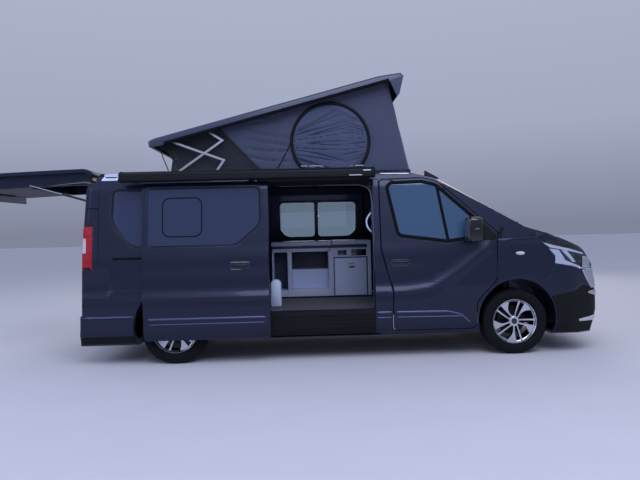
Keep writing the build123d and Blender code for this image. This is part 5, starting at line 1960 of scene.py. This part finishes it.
def blown_up(mesh, swell):
    """The mesh as cloth under pressure, with each point held to a small way from its start."""
    piece = linked("cover", mesh)
    start = [v.co.copy() for v in mesh.vertices]
    cloth = piece.modifiers.new("cloth", "CLOTH")
    cloth.settings.quality = 4
    cloth.settings.use_pressure = True
    cloth.settings.uniform_pressure_force = 4.0
    cloth.settings.effector_weights.gravity = 0.0
    cloth.settings.tension_stiffness = 12
    cloth.settings.compression_stiffness = 12
    cloth.point_cache.frame_start = 1
    cloth.point_cache.frame_end = 20
    for number in range(1, 21):
        bpy.context.scene.frame_set(number)
    graph = bpy.context.evaluated_depsgraph_get()
    made = bpy.data.meshes.new_from_object(piece.evaluated_get(graph), depsgraph=graph)
    bpy.context.scene.frame_set(1)
    bpy.data.objects.remove(piece)
    held = []
    for end, from_here in zip([v.co.copy() for v in made.vertices], start):
        step = end - from_here
        held.extend(from_here + step * min(1.0, swell / max(step.length, 1e-9)))
    made.vertices.foreach_set("co", held)
    made.update()
    return made


def pad(name, outline, low_y, high_y, body, node, channels=(), across=(), rest_z=None, edge=0.045):
    """A cushion with an outline (x, z, radius) seen from the side, between two values of y."""
    line = rounded(outline, True, 6)
    lines, places = [], []
    for step in range(6):
        turn = math.pi / 2 * step / 5
        lines.append(shrunk(line, 0.006 + edge * (1 - math.cos(turn))))
        places.append(edge * (1 - math.sin(turn)) + 0.006)
    levels = [low_y + p for p in reversed(places)] + [high_y - p for p in places]
    points, faces = slices(list(reversed(lines)) + lines, levels)
    block = loose_object(name + "_block", points, faces, [seat_cloth])
    face_outwards(block.data)
    mesh = evenly_meshed(block, 0.013)
    bpy.data.objects.remove(block)
    mesh = blown_up(mesh, 0.014)
    made = linked(name, mesh)
    finer = made.modifiers.new("finer", "SUBSURF")
    finer.levels = 1
    made.data = evaluated(made)
    made.modifiers.clear()
    mesh = made.data
    mesh.materials.clear()
    mesh.materials.append(seat_cloth)
    skin_points = [(v.co.copy(), v.normal.copy()) for v in mesh.vertices]
    moved = []
    for here, out in skin_points:
        depth = 0.0
        for place in (*channels, low_y + edge * 0.9, high_y - edge * 0.9):
            width = 0.006 if place in channels else 0.004
            depth += (0.009 if place in channels else 0.004) * math.exp(-((here.y - place) / width) ** 2)
        for place in across:
            depth += 0.008 * math.exp(-((here.x - axle_x - place) / 0.006) ** 2) * (abs(out.z) > 0.5)
        here = here - out * depth
        if rest_z is not None:
            here.z = max(here.z, rest_z)
        moved.extend(here)
    mesh.vertices.foreach_set("co", moved)
    mesh.update()
    mesh.shade_smooth()
    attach(made, body)
    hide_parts(node)
    return made


def shifted(piece, name, by_y):
    """A copy of a cushion, moved across the van."""
    mesh = piece.data.copy()
    mesh.transform(Matrix.Translation((0, by_y, 0)))
    made = linked(name, mesh)
    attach(made, "body")
    return made


seat_middle = 0.440
squab = [(2.370, 0.705, 0.03), (2.850, 0.705, 0.05), (2.858, 0.850, 0.07), (2.370, 0.830, 0.04)]
rest = [(2.262, 0.840, 0.04), (2.385, 0.840, 0.04), (2.288, 1.426, 0.045), (2.186, 1.426, 0.045)]
head = [(2.166, 1.450, 0.03), (2.262, 1.450, 0.03), (2.246, 1.614, 0.04), (2.168, 1.614, 0.04)]
near = -seat_middle
cushions = [
    pad(
        "seat_cushion_right", squab, near - 0.235, near + 0.235, "body", "front_seats",
        (near - 0.13, near + 0.13), (2.56,), rest_z=0.704,
    ),
    pad(
        "seat_back_right", rest, near - 0.225, near + 0.225, "body", "front_seats",
        (near - 0.13, near + 0.13), edge=0.028,
    ),
    pad("headrest_right", head, near - 0.130, near + 0.130, "body", "front_seats", (), (), edge=0.035),
    pad(
        "bench_cushion",
        [(0.130, 0.780, 0.03), (0.696, 0.780, 0.05), (0.698, 0.900, 0.05), (0.130, 0.895, 0.04)], -0.638,
        0.248, "body", "bench_seat", (-0.195,), (0.42,), rest_z=0.779,
    ),
    pad(
        "bench_back",
        [(0.086, 0.880, 0.04), (0.200, 0.880, 0.04), (0.196, 1.446, 0.045), (0.090, 1.446, 0.045)], -0.638,
        0.248, "body", "bench_seat", (-0.195,), edge=0.028,
    ),
]
cushions += [
    shifted(cushions[i], cushions[i].name.replace("right", "left"), 2 * seat_middle)
    for i in range(3)
]
seat_frames = []
for mark, side in SIDES:
    middle = side * seat_middle
    seat_frames.append(boards("seat_pedestal_" + mark, [
        ((2.420, middle - 0.170, 0.500), (2.760, middle + 0.170, 0.640), trim_grey),
        ((2.400, middle - 0.205, 0.640), (2.790, middle + 0.205, 0.704), polypropylene),
        ((2.300, middle - 0.245, 0.700), (2.470, middle - 0.232, 0.830), polypropylene),
        ((2.300, middle + 0.232, 0.700), (2.470, middle + 0.245, 0.830), polypropylene),
    ], "body", 0.012))
    for shift in (-0.045, 0.045):
        seat_frames.append(swept(
            "headrest_post_" + mark + "_" + ("a" if shift < 0 else "b"),
            [at(2.226, middle + shift, 1.395), at(2.214, middle + shift, 1.480)], 0.006, anodised,
            slot="steel",
        ))
seat_frames.append(boards("bench_box", [
    ((0.130, -0.630, 0.500), (0.690, 0.240, 0.776), laminate_edge),
    ((0.120, -0.634, 0.520), (0.140, 0.244, 0.780), laminate),
    ((0.684, -0.560, 0.540), (0.696, -0.210, 0.740), laminate),
    ((0.684, -0.180, 0.540), (0.696, 0.170, 0.740), laminate),
], "body", 0.006))
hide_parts("bench_seat")
print("cushions", len(cushions), "seat frames", len(seat_frames))

# %% [markdown]
# A moulded housing is an outline lifted along a third direction, with both ends eased along a
# quarter circle. The awning's cassette, the mirrors and the dashboard are made in this way.

# %% Moulded housings
def moulded(name, outline, low, high, edge, place, material, rows=4, body="body", slot=None):
    """A closed housing: an outline (a, b, radius) lifted from low to high, laid by place(a, b, c)."""
    line = rounded(outline, True, 6)
    turns = [math.pi / 2 * step / rows for step in range(rows + 1)]
    lines = [shrunk(line, edge * (1 - math.sin(turn))) for turn in turns]
    levels = [edge * (1 - math.cos(turn)) for turn in turns]
    rings = list(zip(lines, [low + level for level in levels]))
    rings += zip(reversed(lines), [high - level for level in reversed(levels)])
    count = len(line)
    points = [place(p.x, p.y, level) for ring, level in rings for p in ring]
    ends = [tuple(range(count)), tuple(range(len(points) - count, len(points)))]
    faces = ends + bands(len(rings) - 1, count)
    made = mesh_object(name, points, faces, material, body, slot)
    face_outwards(made.data)
    made.data.set_sharp_from_angle(angle=math.radians(50))
    return made


def along_van(a, b, c):
    return at(c, a, b)


def across_van(a, b, c):
    return at(a, c, b)


print("housings ready")

# %% [markdown]
# The awning is an extruded cassette with a lead rail that closes it, a cap at each end and
# three pale brackets on the roof's edge.

# %% Awning
awning_black = finish(
    "awning_powder_coat", "#0b0d16", 0.5, spread=0.05, Specular_IOR_Level=0.22, slot="black_plastic",
)
case_outline = [
    (-1.048, 1.854, 0.022), (-0.936, 1.854, 0.010), (-0.902, 1.892, 0.010), (-0.902, 1.950, 0.018),
    (-1.000, 1.956, 0.028), (-1.048, 1.930, 0.022),
]
cap_outline = [
    (-1.051, 1.851, 0.024), (-0.934, 1.851, 0.010), (-0.899, 1.890, 0.010), (-0.899, 1.953, 0.018),
    (-1.000, 1.959, 0.028), (-1.051, 1.932, 0.022),
]
awning_pieces = [
    moulded("awning_case", case_outline, -0.486, 2.062, 0.004, along_van, awning_black),
    moulded("awning_cap_rear", cap_outline, -0.490, -0.452, 0.008, along_van, polypropylene),
    moulded("awning_cap_front", cap_outline, 2.028, 2.066, 0.008, along_van, polypropylene),
    moulded(
        "awning_lead_rail",
        [(-1.054, 1.862, 0.006), (-1.030, 1.850, 0.006), (-1.030, 1.900, 0.004), (-1.054, 1.904, 0.006)],
        -0.450, 2.026, 0.003, along_van, awning_black,
    ),
    boards(
        "awning_brackets",
        [((x, -0.910, 1.896), (x + 0.050, -0.792, 1.924), anodised) for x in (-0.400, 0.780, 1.960)], "body",
    ),
    boards(
        "awning_feet",
        [((x, -0.904, 1.949), (x + 0.070, -0.860, 1.957), anodised) for x in (-0.410, 0.770, 1.950)], "body",
        0.003,
    ),
    boards("awning_latches", [
        ((1.940, -1.0565, 1.912), (2.020, -1.046, 1.926), anodised),
        ((1.800, -1.0565, 1.868), (1.930, -1.050, 1.878), anodised),
    ], "body", 0.003),
]
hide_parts("awning")
print("awning pieces", len(awning_pieces))

# %% [markdown]
# The foot of the sliding door's opening is a black step cover with ribs. The rail that the door
# hangs on is a dark slot in the quarter panel. A slim bright strip edges the cab's roof.

# %% Step cover, rail and roof strips
side_extras = [
    panel(
        "step_cover", [(0.860, 0.262, 0), (2.108, 0.262, 0), (2.108, 0.506, 0.01), (0.860, 0.506, 0.01)],
        polypropylene, side_y, raise_by=0.004,
    ),
    # A black cover over the door's upper rail. It also paints the shade that falls under the awning above the
    # opening.
    panel(
        "upper_rail_and_shade_cover", [(0.862, 1.793, 0.01), (2.034, 1.793, 0.04), (2.034, 1.866, 0), (0.862, 1.866, 0)],
        polypropylene, side_y, raise_by=0.004,
    ),
    boards(
        "step_tread", [((0.905, -0.962, 0.500), (2.030, -0.905, 0.508), polypropylene)], "body",
        0.003,
    ),
    laid_bar(
        "rail_slot", (-0.590, 1.088), (0.840, 1.088), 0.024, 0.004, raised_surface(side_y), seal_rubber,
        steps=24,
    ),
    laid_bar(
        "rail_lip", (-0.560, 1.070), (0.840, 1.070), 0.010, 0.004, raised_surface(side_y), paint, steps=24,
    ),
]
for number in range(5):
    side_extras.append(laid_bar(
        "step_rib_" + str(number), (0.900, 0.300 + 0.042 * number), (2.070, 0.300 + 0.042 * number), 0.010,
        0.004, side_y, polypropylene, base=0.003,
    ))
for mark, side in SIDES:
    side_extras.append(laid_bar(
        "roof_strip_" + mark, (2.130, 1.906), (2.450, 1.898), 0.020, 0.010, side_y, anodised, side,
        base=0.001, ends=0.02,
    ))
    # A pale cap on the roof's rear corner: a painted reflection on the roof's edge.
    side_extras.append(moulded(
        "roof_rear_cap_" + mark,
        [(-0.735, 0.560, 0.02), (-0.560, 0.560, 0.02), (-0.560, 0.735, 0.03), (-0.735, 0.735, 0.03)], 1.925,
        1.962, 0.012, lambda a, b, c, s=side: at(a, s * b, c), laminate, slot="trim",
    ))
    side_extras.append(swept(
        "roof_tether_" + mark,
        [at(-0.150, side * 0.690, 2.215), at(-0.120, side * 0.690, 2.120), at(-0.070, side * 0.690, 1.990)],
        0.005, polypropylene, slot="canvas",
    ))
    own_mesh(side_extras[-1])
opening_line = [
    (1.560, 1.792), (1.900, 1.790), (1.962, 1.776), (2.007, 1.748), (2.030, 1.700), (2.042, 1.600),
    (2.046, 1.420), (2.046, 1.250), (2.046, 0.900),
]
side_extras.append(
    swept("opening_seal", [at(x, 0.004 - side_y(x, z), z) for x, z in opening_line], 0.007, weather_grey)
)
print("side extras", len(side_extras))

# %% [markdown]
# The tail leans forward a little. A place on it is given by y and z, and the tailgate's pieces
# are drawn on the closed gate and then turned up about its hinge with it.

# %% Tail surfaces
tail_line = rounded([
    (-0.700, 1.940, 0), (-0.780, 1.928, 0.04), (-0.862, 1.830, 0.16), (-0.905, 1.000, 0.5),
    (-0.925, 0.520, 0),
])
gate_turn = math.radians(85)
gate_hinge_x, gate_hinge_z = -0.775, 1.945


def tail_place(y, z, out):
    return at(along(tail_line, z) - out, y, z)


def gate_place(y, z, out):
    """A place on the closed tailgate's outer face, turned up with the gate about its hinge."""
    x, high = along(tail_line, z) - out - gate_hinge_x, z - gate_hinge_z
    cosine, sine = math.cos(gate_turn), math.sin(gate_turn)
    return at(gate_hinge_x + x * cosine + high * sine, y, gate_hinge_z - x * sine + high * cosine)


def gate_inner(y, z, out):
    return gate_place(y, z, -0.150 - out)


print("tail at bumper height", round(along(tail_line, 0.6), 3))

# %% [markdown]
# The tailgate has a pressed skin with its window in a black edge, a grip over a blank plate, a
# wiper, a high lamp, and a lining inside with a pull. All of it turns with the gate.

# %% Tailgate
gate_window = even_sided(0.640, 1.160, 1.730, 0.09, 0.590)
gate_opening = even_sided(0.600, 1.195, 1.695, 0.07, 0.555)
gate_pieces = [
    placed_panel(
        "gate_skin",
        [
            (-0.768, 0.515, 0.06), (0.768, 0.515, 0.06), (0.768, 1.500, 0.3), (0.735, 1.905, 0.06),
            (-0.735, 1.905, 0.06), (-0.768, 1.500, 0.3),
        ],
        paint, gate_place, holes=[gate_window], body="tailgate",
    ),
    placed_panel(
        "gate_glass_edge", gate_window, frit, gate_place, 0.001, 0.002, foot=-0.004, holes=[gate_opening],
        body="tailgate",
    ),
    placed_panel(
        "gate_recess", even_sided(0.400, 0.760, 0.935, 0.05), polypropylene, gate_place, 0.006,
        body="tailgate",
    ),
    placed_panel(
        "gate_grip", even_sided(0.410, 0.945, 0.995, 0.02), gloss_black, gate_place, 0.024, 0.012,
        body="tailgate",
    ),
    placed_panel(
        "gate_high_lamp", even_sided(0.160, 1.805, 1.830, 0.008), red_acrylic, gate_place, 0.010,
        body="tailgate",
    ),
    placed_panel(
        "gate_lining",
        [(-0.685, 0.560, 0.06), (0.685, 0.560, 0.06), (0.670, 1.830, 0.10), (-0.670, 1.830, 0.10)],
        trim_grey, gate_inner, 0.004, holes=[gate_window], body="tailgate",
    ),
    placed_panel(
        "gate_pull", even_sided(0.180, 0.600, 0.650, 0.02), polypropylene, gate_inner, 0.024, 0.012,
        body="tailgate",
    ),
    swept(
        "gate_wiper_arm",
        [gate_place(0.0, 1.120, 0.030), gate_place(-0.160, 1.175, 0.026), gate_place(-0.300, 1.215, 0.020)],
        0.009, polypropylene, flat=0.6, body="tailgate",
    ),
    swept(
        "gate_wiper_blade",
        [
            gate_place(-0.120, 1.210, 0.012), gate_place(-0.300, 1.225, 0.012),
            gate_place(-0.480, 1.240, 0.012),
        ],
        0.008, seal_rubber, body="tailgate",
    ),
    swept(
        "gate_wiper_foot", [gate_place(0.0, 1.120, 0.0), gate_place(0.0, 1.120, 0.034)], 0.022,
        polypropylene, 20, body="tailgate",
    ),
]


def gate_plate_place(across, up, out):
    return gate_place(across, 0.848 + up, 0.006 + out)


gate_pieces.append(plate("rear_plate_blank", gate_plate_place, plate_white, "tailgate"))
print("tailgate pieces", len(gate_pieces))

# %% [markdown]
# The tail lamps stand tall at both corners: red lenses with a clear one between them, in dark
# bezels. Below, the bumper wraps the tail with a step on top and a bare black foot.

# %% Tail lamps and rear bumper
tail_clear = finish("smoked_clear_lens", "#c3b4c4", 0.12, spread=0.05, Coat_Weight=0.6)
tail_pieces = [
    moulded(
        "bumper_step",
        [(-0.974, 0.400, 0.01), (-0.974, 0.494, 0.012), (-0.900, 0.503, 0.004), (-0.900, 0.400, 0.004)],
        -0.840, 0.840, 0.010, across_van, paint,
    ),
    moulded(
        "bumper_foot",
        [(-0.972, 0.262, 0.02), (-0.974, 0.392, 0.01), (-0.900, 0.392, 0.004), (-0.900, 0.262, 0.004)],
        -0.840, 0.840, 0.010, across_van, polypropylene,
    ),
    boards(
        "bumper_tread", [((-0.960, -0.700, 0.500), (-0.905, 0.700, 0.507), polypropylene)], "body",
        0.003,
    ),
]
for mark, side in SIDES:
    def side_lens(name, low, high, material, lift, front=-0.808):
        line = [
            (front - 1.3 * max(0.0, abs(z - 1.150) - 0.080) ** 2, z, 0.0)
            for z in [low + (high - low) * step / 4 for step in range(5)]
        ]
        tail_pieces.append(panel(
            name + "_" + mark, [(-0.893, low, 0.006), *line, (-0.888, high, 0.006)], material, side_y,
            raise_by=lift, edge=0.003, side=side, slot="tail_lamp",
        ))
        tail_pieces.append(placed_panel(
            name + "_back_" + mark, oblong(side * 0.795, side * 0.915, low, high, 0.006)[::side * -1],
            material, tail_place, lift, 0.003, slot="tail_lamp",
        ))

    side_lens("tail_lens_low", 1.012, 1.134, red_acrylic, 0.004)
    side_lens("tail_lens_foot", 0.990, 1.004, seal_rubber, 0.005)
    side_lens("tail_lens_clear", 1.150, 1.300, tail_clear, 0.007, -0.858)
    side_lens("tail_lens_middle", 1.142, 1.306, red_acrylic, 0.004)
    side_lens("tail_lens_high", 1.314, 1.410, red_acrylic, 0.004)
    tail_pieces.append(panel(
        "rear_bumper_side_" + mark,
        [(-0.945, 0.300, 0), *arc(0, 191, 163, arch_radius + 0.004, 8), (-0.925, 0.498, 0)], paint, side_y,
        raise_by=0.004, side=side,
    ))
    tail_pieces.append(panel(
        "rear_bumper_low_" + mark,
        [
            (-0.945, 0.225, 0), (-0.384, 0.225, 0), *arc(0, 200, 191.5, arch_radius + 0.004, 3),
            (-0.945, 0.296, 0),
        ],
        polypropylene, side_y, raise_by=0.005, side=side,
    ))
    # The step's edge is in the lighter paint, a painted highlight.
    tail_pieces.append(laid_bar(
        "bumper_side_step_" + mark, (-0.900, 0.500), (-0.398, 0.500), 0.022, 0.012, side_y, moulding_highlight_paint,
        side, 12, 0.001, 0.01,
    ))
    tail_pieces.append(laid_bar(
        "quarter_gap_" + mark, (-0.862, 1.602), (-0.738, 1.602), 0.009, 0.0015, raised_surface(side_y),
        seal_rubber, side,
    ))
    tail_pieces.append(laid_bar(
        "tail_gap_" + mark, (-0.738, 1.020), (-0.738, 1.850), 0.005, 0.0012, raised_surface(side_y),
        seal_rubber, side,
    ))
    # A pale patch on the roof's rear corner, widening the cap above: a painted reflection.
    tail_pieces.append(panel(
        "roof_corner_painted_reflection_" + mark,
        [(-0.735, 1.885, 0.01), (-0.562, 1.885, 0.01), (-0.562, 1.938, 0.01), (-0.705, 1.938, 0.01)],
        laminate, side_y, raise_by=0.003, side=side, slot="trim",
    ))
    tail_pieces.append(panel(
        "pillar_foot_" + mark,
        [
            (3.328, 1.186, 0.004), (3.354, 1.216, 0.01), (3.392, 1.318, 0.01), (3.348, 1.318, 0.01),
            (3.330, 1.276, 0.004),
        ],
        polypropylene, side_y, raise_by=0.004, side=side,
    ))
print("tail pieces", len(tail_pieces))

# %% [markdown]
# A door mirror is a rounded black head on a foot, with a bright rim round its glass.

# %% Door mirrors
mirror_glass = finish("silvered_glass", "#aeb6c6", 0.04, 1.0, spread=0.01, slot="glass")
mirror_pieces = []
for mark, side in SIDES:
    def beside(a, b, c, s=side):
        return at(a, s * b, c)

    def facing_back(a, b, out, s=side):
        return at(2.9705 - out, s * a, b)

    door = "door_" + mark
    head = moulded(
        "mirror_head_" + mark,
        [(2.970, 0.985, 0.022), (3.160, 1.000, 0.06), (3.115, 1.141, 0.06), (2.980, 1.141, 0.03)], 1.176,
        1.428, 0.042, beside, gloss_black, 6, body=door,
    )
    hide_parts("mirror_" + mark)
    mirror_pieces += [
        head,
        moulded(
            "mirror_arm_" + mark,
            [(3.012, 0.925, 0.01), (3.098, 0.925, 0.01), (3.090, 1.030, 0.01), (3.020, 1.030, 0.01)], 1.180,
            1.232, 0.010, beside, polypropylene, body=door,
        ),
        placed_panel(
            "mirror_rim_" + mark,
            [(1.000, 1.186, 0.03), (1.130, 1.186, 0.03), (1.130, 1.418, 0.04), (1.000, 1.418, 0.04)],
            trim_grey, facing_back, 0.004, 0.003, 0.02, -0.012,
            holes=[[
                (1.006, 1.192, 0.026), (1.124, 1.192, 0.026), (1.124, 1.412, 0.036), (1.006, 1.412, 0.036),
            ]],
            body=door, slot="aluminium",
        ),
        placed_panel(
            "mirror_glass_" + mark,
            [(1.008, 1.194, 0.024), (1.122, 1.194, 0.024), (1.122, 1.410, 0.034), (1.008, 1.410, 0.034)],
            mirror_glass, facing_back, 0.001, 0.002, 0.02, -0.012, body=door,
        ),
        moulded(
            "mirror_repeater_" + mark,
            [(3.020, 1.1380, 0.004), (3.080, 1.1345, 0.004), (3.080, 1.1445, 0.004), (3.020, 1.1445, 0.004)],
            1.300, 1.312, 0.003, beside, clear_cover, body=door,
        ),
    ]
print("mirror pieces", len(mirror_pieces))

# %% [markdown]
# The dashboard is a soft moulding with a hood over the dials, a screen, vents and a glovebox
# lid. The steering wheel is a swept rim on three spokes round a padded hub.

# %% Dashboard and steering wheel
dash = moulded(
    "dashboard_top",
    [
        (3.396, 0.864, 0.01), (3.396, 1.228, 0.01), (3.185, 1.232, 0.06), (3.044, 1.122, 0.05),
        (3.084, 0.864, 0.04),
    ],
    -0.752, 0.752, 0.030, across_van, trim_grey,
)
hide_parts("dashboard")
dash_pieces = [
    dash,
    moulded(
        "dial_hood",
        [
            (3.060, 1.110, 0.02), (3.220, 1.200, 0.02), (3.200, 1.282, 0.05), (3.090, 1.272, 0.03),
            (3.030, 1.190, 0.02),
        ],
        0.270, 0.610, 0.040, across_van, polypropylene,
    ),
    boards("dash_fittings", [
        ((3.046, -0.130, 1.085), (3.062, 0.130, 1.205), gloss_black),
        ((3.042, -0.122, 1.098), (3.048, 0.122, 1.196), trim_grey),
        ((3.050, -0.720, 1.070), (3.070, -0.600, 1.135), gloss_black),
        ((3.050, 0.630, 1.070), (3.070, 0.735, 1.135), gloss_black),
        ((3.058, -0.560, 0.930), (3.086, -0.190, 1.050), polypropylene),
        ((3.060, -0.120, 0.880), (3.090, 0.120, 1.050), polypropylene),
        ((3.054, -0.400, 1.034), (3.060, -0.350, 1.044), anodised),
    ], "body", 0.006),
]
for number in range(4):
    dash_pieces.append(
        boards(
            "vent_slats_" + str(number),
            [
                ((3.046, y, 1.080 + 0.013 * number), (3.052, y + 0.095, 1.084 + 0.013 * number), trim_grey)
                for y in (-0.708, 0.636)
            ],
            "body", 0.001,
        )
    )
hub = at(2.960, 0.440, 1.110)
wheel_lean = math.radians(25)
wheel_across = Vector((0, 1, 0))
wheel_up = Vector((math.sin(wheel_lean), 0, math.cos(wheel_lean)))
wheel_out = Vector((-math.cos(wheel_lean), 0, math.sin(wheel_lean)))


def on_wheel(a, b, c):
    return hub + wheel_across * a + wheel_up * b + wheel_out * c


rim_line = [
    on_wheel(0.180 * math.cos(math.tau * i / 48), 0.180 * math.sin(math.tau * i / 48), 0)
    for i in range(48)
]
steering = [
    swept("steering_rim", rim_line, 0.0145, trim_grey, closed=True),
    moulded(
        "steering_hub", even_sided(0.075, -0.060, 0.055, 0.03, 0.060), -0.035, 0.010, 0.014, on_wheel,
        polypropylene, slot="trim",
    ),
    swept(
        "steering_column", [on_wheel(0, 0, -0.030), on_wheel(0, 0, -0.200)], 0.030, polypropylene, 20,
        slot="trim",
    ),
]
for number, turn in enumerate((90 + 120, 90 + 240, 270)):
    a, b = math.cos(math.radians(turn)), math.sin(math.radians(turn))
    steering.append(swept(
        "steering_spoke_" + str(number),
        [
            on_wheel(a * 0.050, b * 0.050, -0.012), on_wheel(a * 0.120, b * 0.120, -0.010),
            on_wheel(a * 0.176, b * 0.176, 0),
        ],
        0.013, polypropylene, slot="trim",
    ))
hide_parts("steering_wheel")
print("dashboard pieces", len(dash_pieces), "steering pieces", len(steering))

# %% [markdown]
# The windscreen has a black painted edge, two wipers lie at its foot, and a black cowl runs
# between it and the bonnet. A dark gap parts the wing from the bumper.

# %% Windscreen and wipers
def screen_place(y, z, out):
    reach = along(nose_points, z) - nose_centre_x + out
    return at(nose_centre_x + math.sqrt(reach * reach - y * y), y, z)


screen_edge = even_sided(0.770, 1.330, 1.800, 0.09, 0.655)
screen_clear = even_sided(0.715, 1.385, 1.768, 0.07, 0.620)
screen_pieces = [
    placed_panel(
        "screen_painted_edge", screen_edge, frit, screen_place, 0.001, 0.002, foot=-0.004,
        holes=[screen_clear],
    ),
    placed_panel(
        "screen_cowl", even_sided(0.735, 1.262, 1.322, 0.02, 0.750), polypropylene, screen_place, 0.005,
    ),
]
for mark, start, end in (("left", 0.640, 0.000), ("right", -0.020, -0.640)):
    middle = (start + end) / 2
    screen_pieces.append(
        swept(
            "wiper_blade_" + mark,
            [screen_place(start + (end - start) * i / 8, 1.352 + 0.010 * i / 8, 0.012) for i in range(9)],
            0.008, seal_rubber,
        )
    )
    screen_pieces.append(swept(
        "wiper_arm_" + mark,
        [
            screen_place(start, 1.300, 0.018), screen_place(start - 0.12, 1.330, 0.026),
            screen_place(middle, 1.358, 0.022),
        ],
        0.009, polypropylene, flat=0.7,
    ))
    screen_pieces.append(swept(
        "wiper_foot_" + mark, [screen_place(start, 1.300, 0.0), screen_place(start, 1.300, 0.024)], 0.018,
        polypropylene, 18,
    ))
for mark, side in SIDES:
    gap_line = [skin(56.6 + 6.4 * i / 6, 0.944 - 0.162 * i / 6, 0.004, side) for i in range(7)]
    screen_pieces.append(swept("wing_gap_" + mark, gap_line, 0.0035, seal_rubber, 6))
    edge_line = [
        skin(t, z, 0.002, side)
        for t, z in ((70, 1.232), (62, 1.222), (54, 1.196), (47, 1.150), (42, 1.098))
    ]
    screen_pieces.append(swept("bonnet_bead_" + mark, edge_line, 0.005, paint, 8))
print("windscreen pieces", len(screen_pieces))

# %% [markdown]
# Inside each front door a trim ring closes the gap round the glass, with a padded card and a pull.
# Outside, short bright lines edge the grips, those on the front doors painted highlights in the
# lighter paint, and the mouldings turn down.

# %% Door trims and bright lines
card_outline = [
    (2.270, 0.560, 0.08), (3.000, 0.560, 0.10), (3.180, 0.860, 0.08), (3.180, 1.150, 0.05),
    (2.795, 1.165, 0.1), (2.270, 1.220, 0.05),
]


def door_inside(x, z):
    return side_y(x, z) - 0.036


def seal_surface(x, z):
    return side_y(x, z) - 0.042


door_trims = []
for mark, side in SIDES:
    door = "door_" + mark
    for part, start, end in (
        ("high", (2.119, 1.100), (2.119, 1.838)), ("low", (2.117, 1.130), (2.232, 0.705)),
        ("foot", (2.230, 0.730), (2.230, 0.510)), ("top", (2.105, 1.838), (2.560, 1.846)),
    ):
        door_trims.append(laid_bar(
            "door_seal_" + part + "_" + mark, start, end, 0.036, 0.008, seal_surface, seal_rubber, side, 16,
        ))
    door_trims += [
        frame_ring(
            "door_inner_ring_" + mark, door_window, 0.016, 0.018, door_inside, 0.001, door, side, trim_grey,
        ),
        panel(
            "door_card_" + mark, card_outline, trim_grey, door_inside, raise_by=0.001, side=side, body=door,
        ),
        laid_bar(
            "door_pull_" + mark, (2.420, 0.985), (2.760, 0.985), 0.050, -0.030, door_inside, polypropylene,
            side, 20, 0.0, 0.05, body=door,
        ),
        # A line in the lighter paint under the grip: a painted highlight.
        laid_bar(
            "door_grip_line_" + mark, (2.225, 0.948), (2.385, 0.948), 0.005, 0.003, raised_surface(side_y),
            moulding_highlight_paint, side, 12, 0.002, body=door,
        ),
        moulding(
            "door_moulding_bend_" + mark, (2.79, 0.474), (2.935, 0.434), 0.020, 0.010, side_y, door, side,
            12, 0.03,
        ),
        moulding(
            "door_moulding_fall_" + mark, (2.915, 0.446), (3.020, 0.346), 0.018, 0.009, side_y, door, side,
            12, 0.03,
        ),
    ]
door_trims.append(laid_bar(
    "slide_grip_line_high", (0.595, 1.031), (0.785, 1.031), 0.005, 0.003, raised_surface(moved_surface),
    anodised, base=0.003,
))
door_trims.append(laid_bar(
    "slide_grip_line_low", (0.600, 0.958), (0.700, 0.958), 0.004, 0.003, raised_surface(moved_surface),
    anodised, base=0.003,
))
print("door trims", len(door_trims))
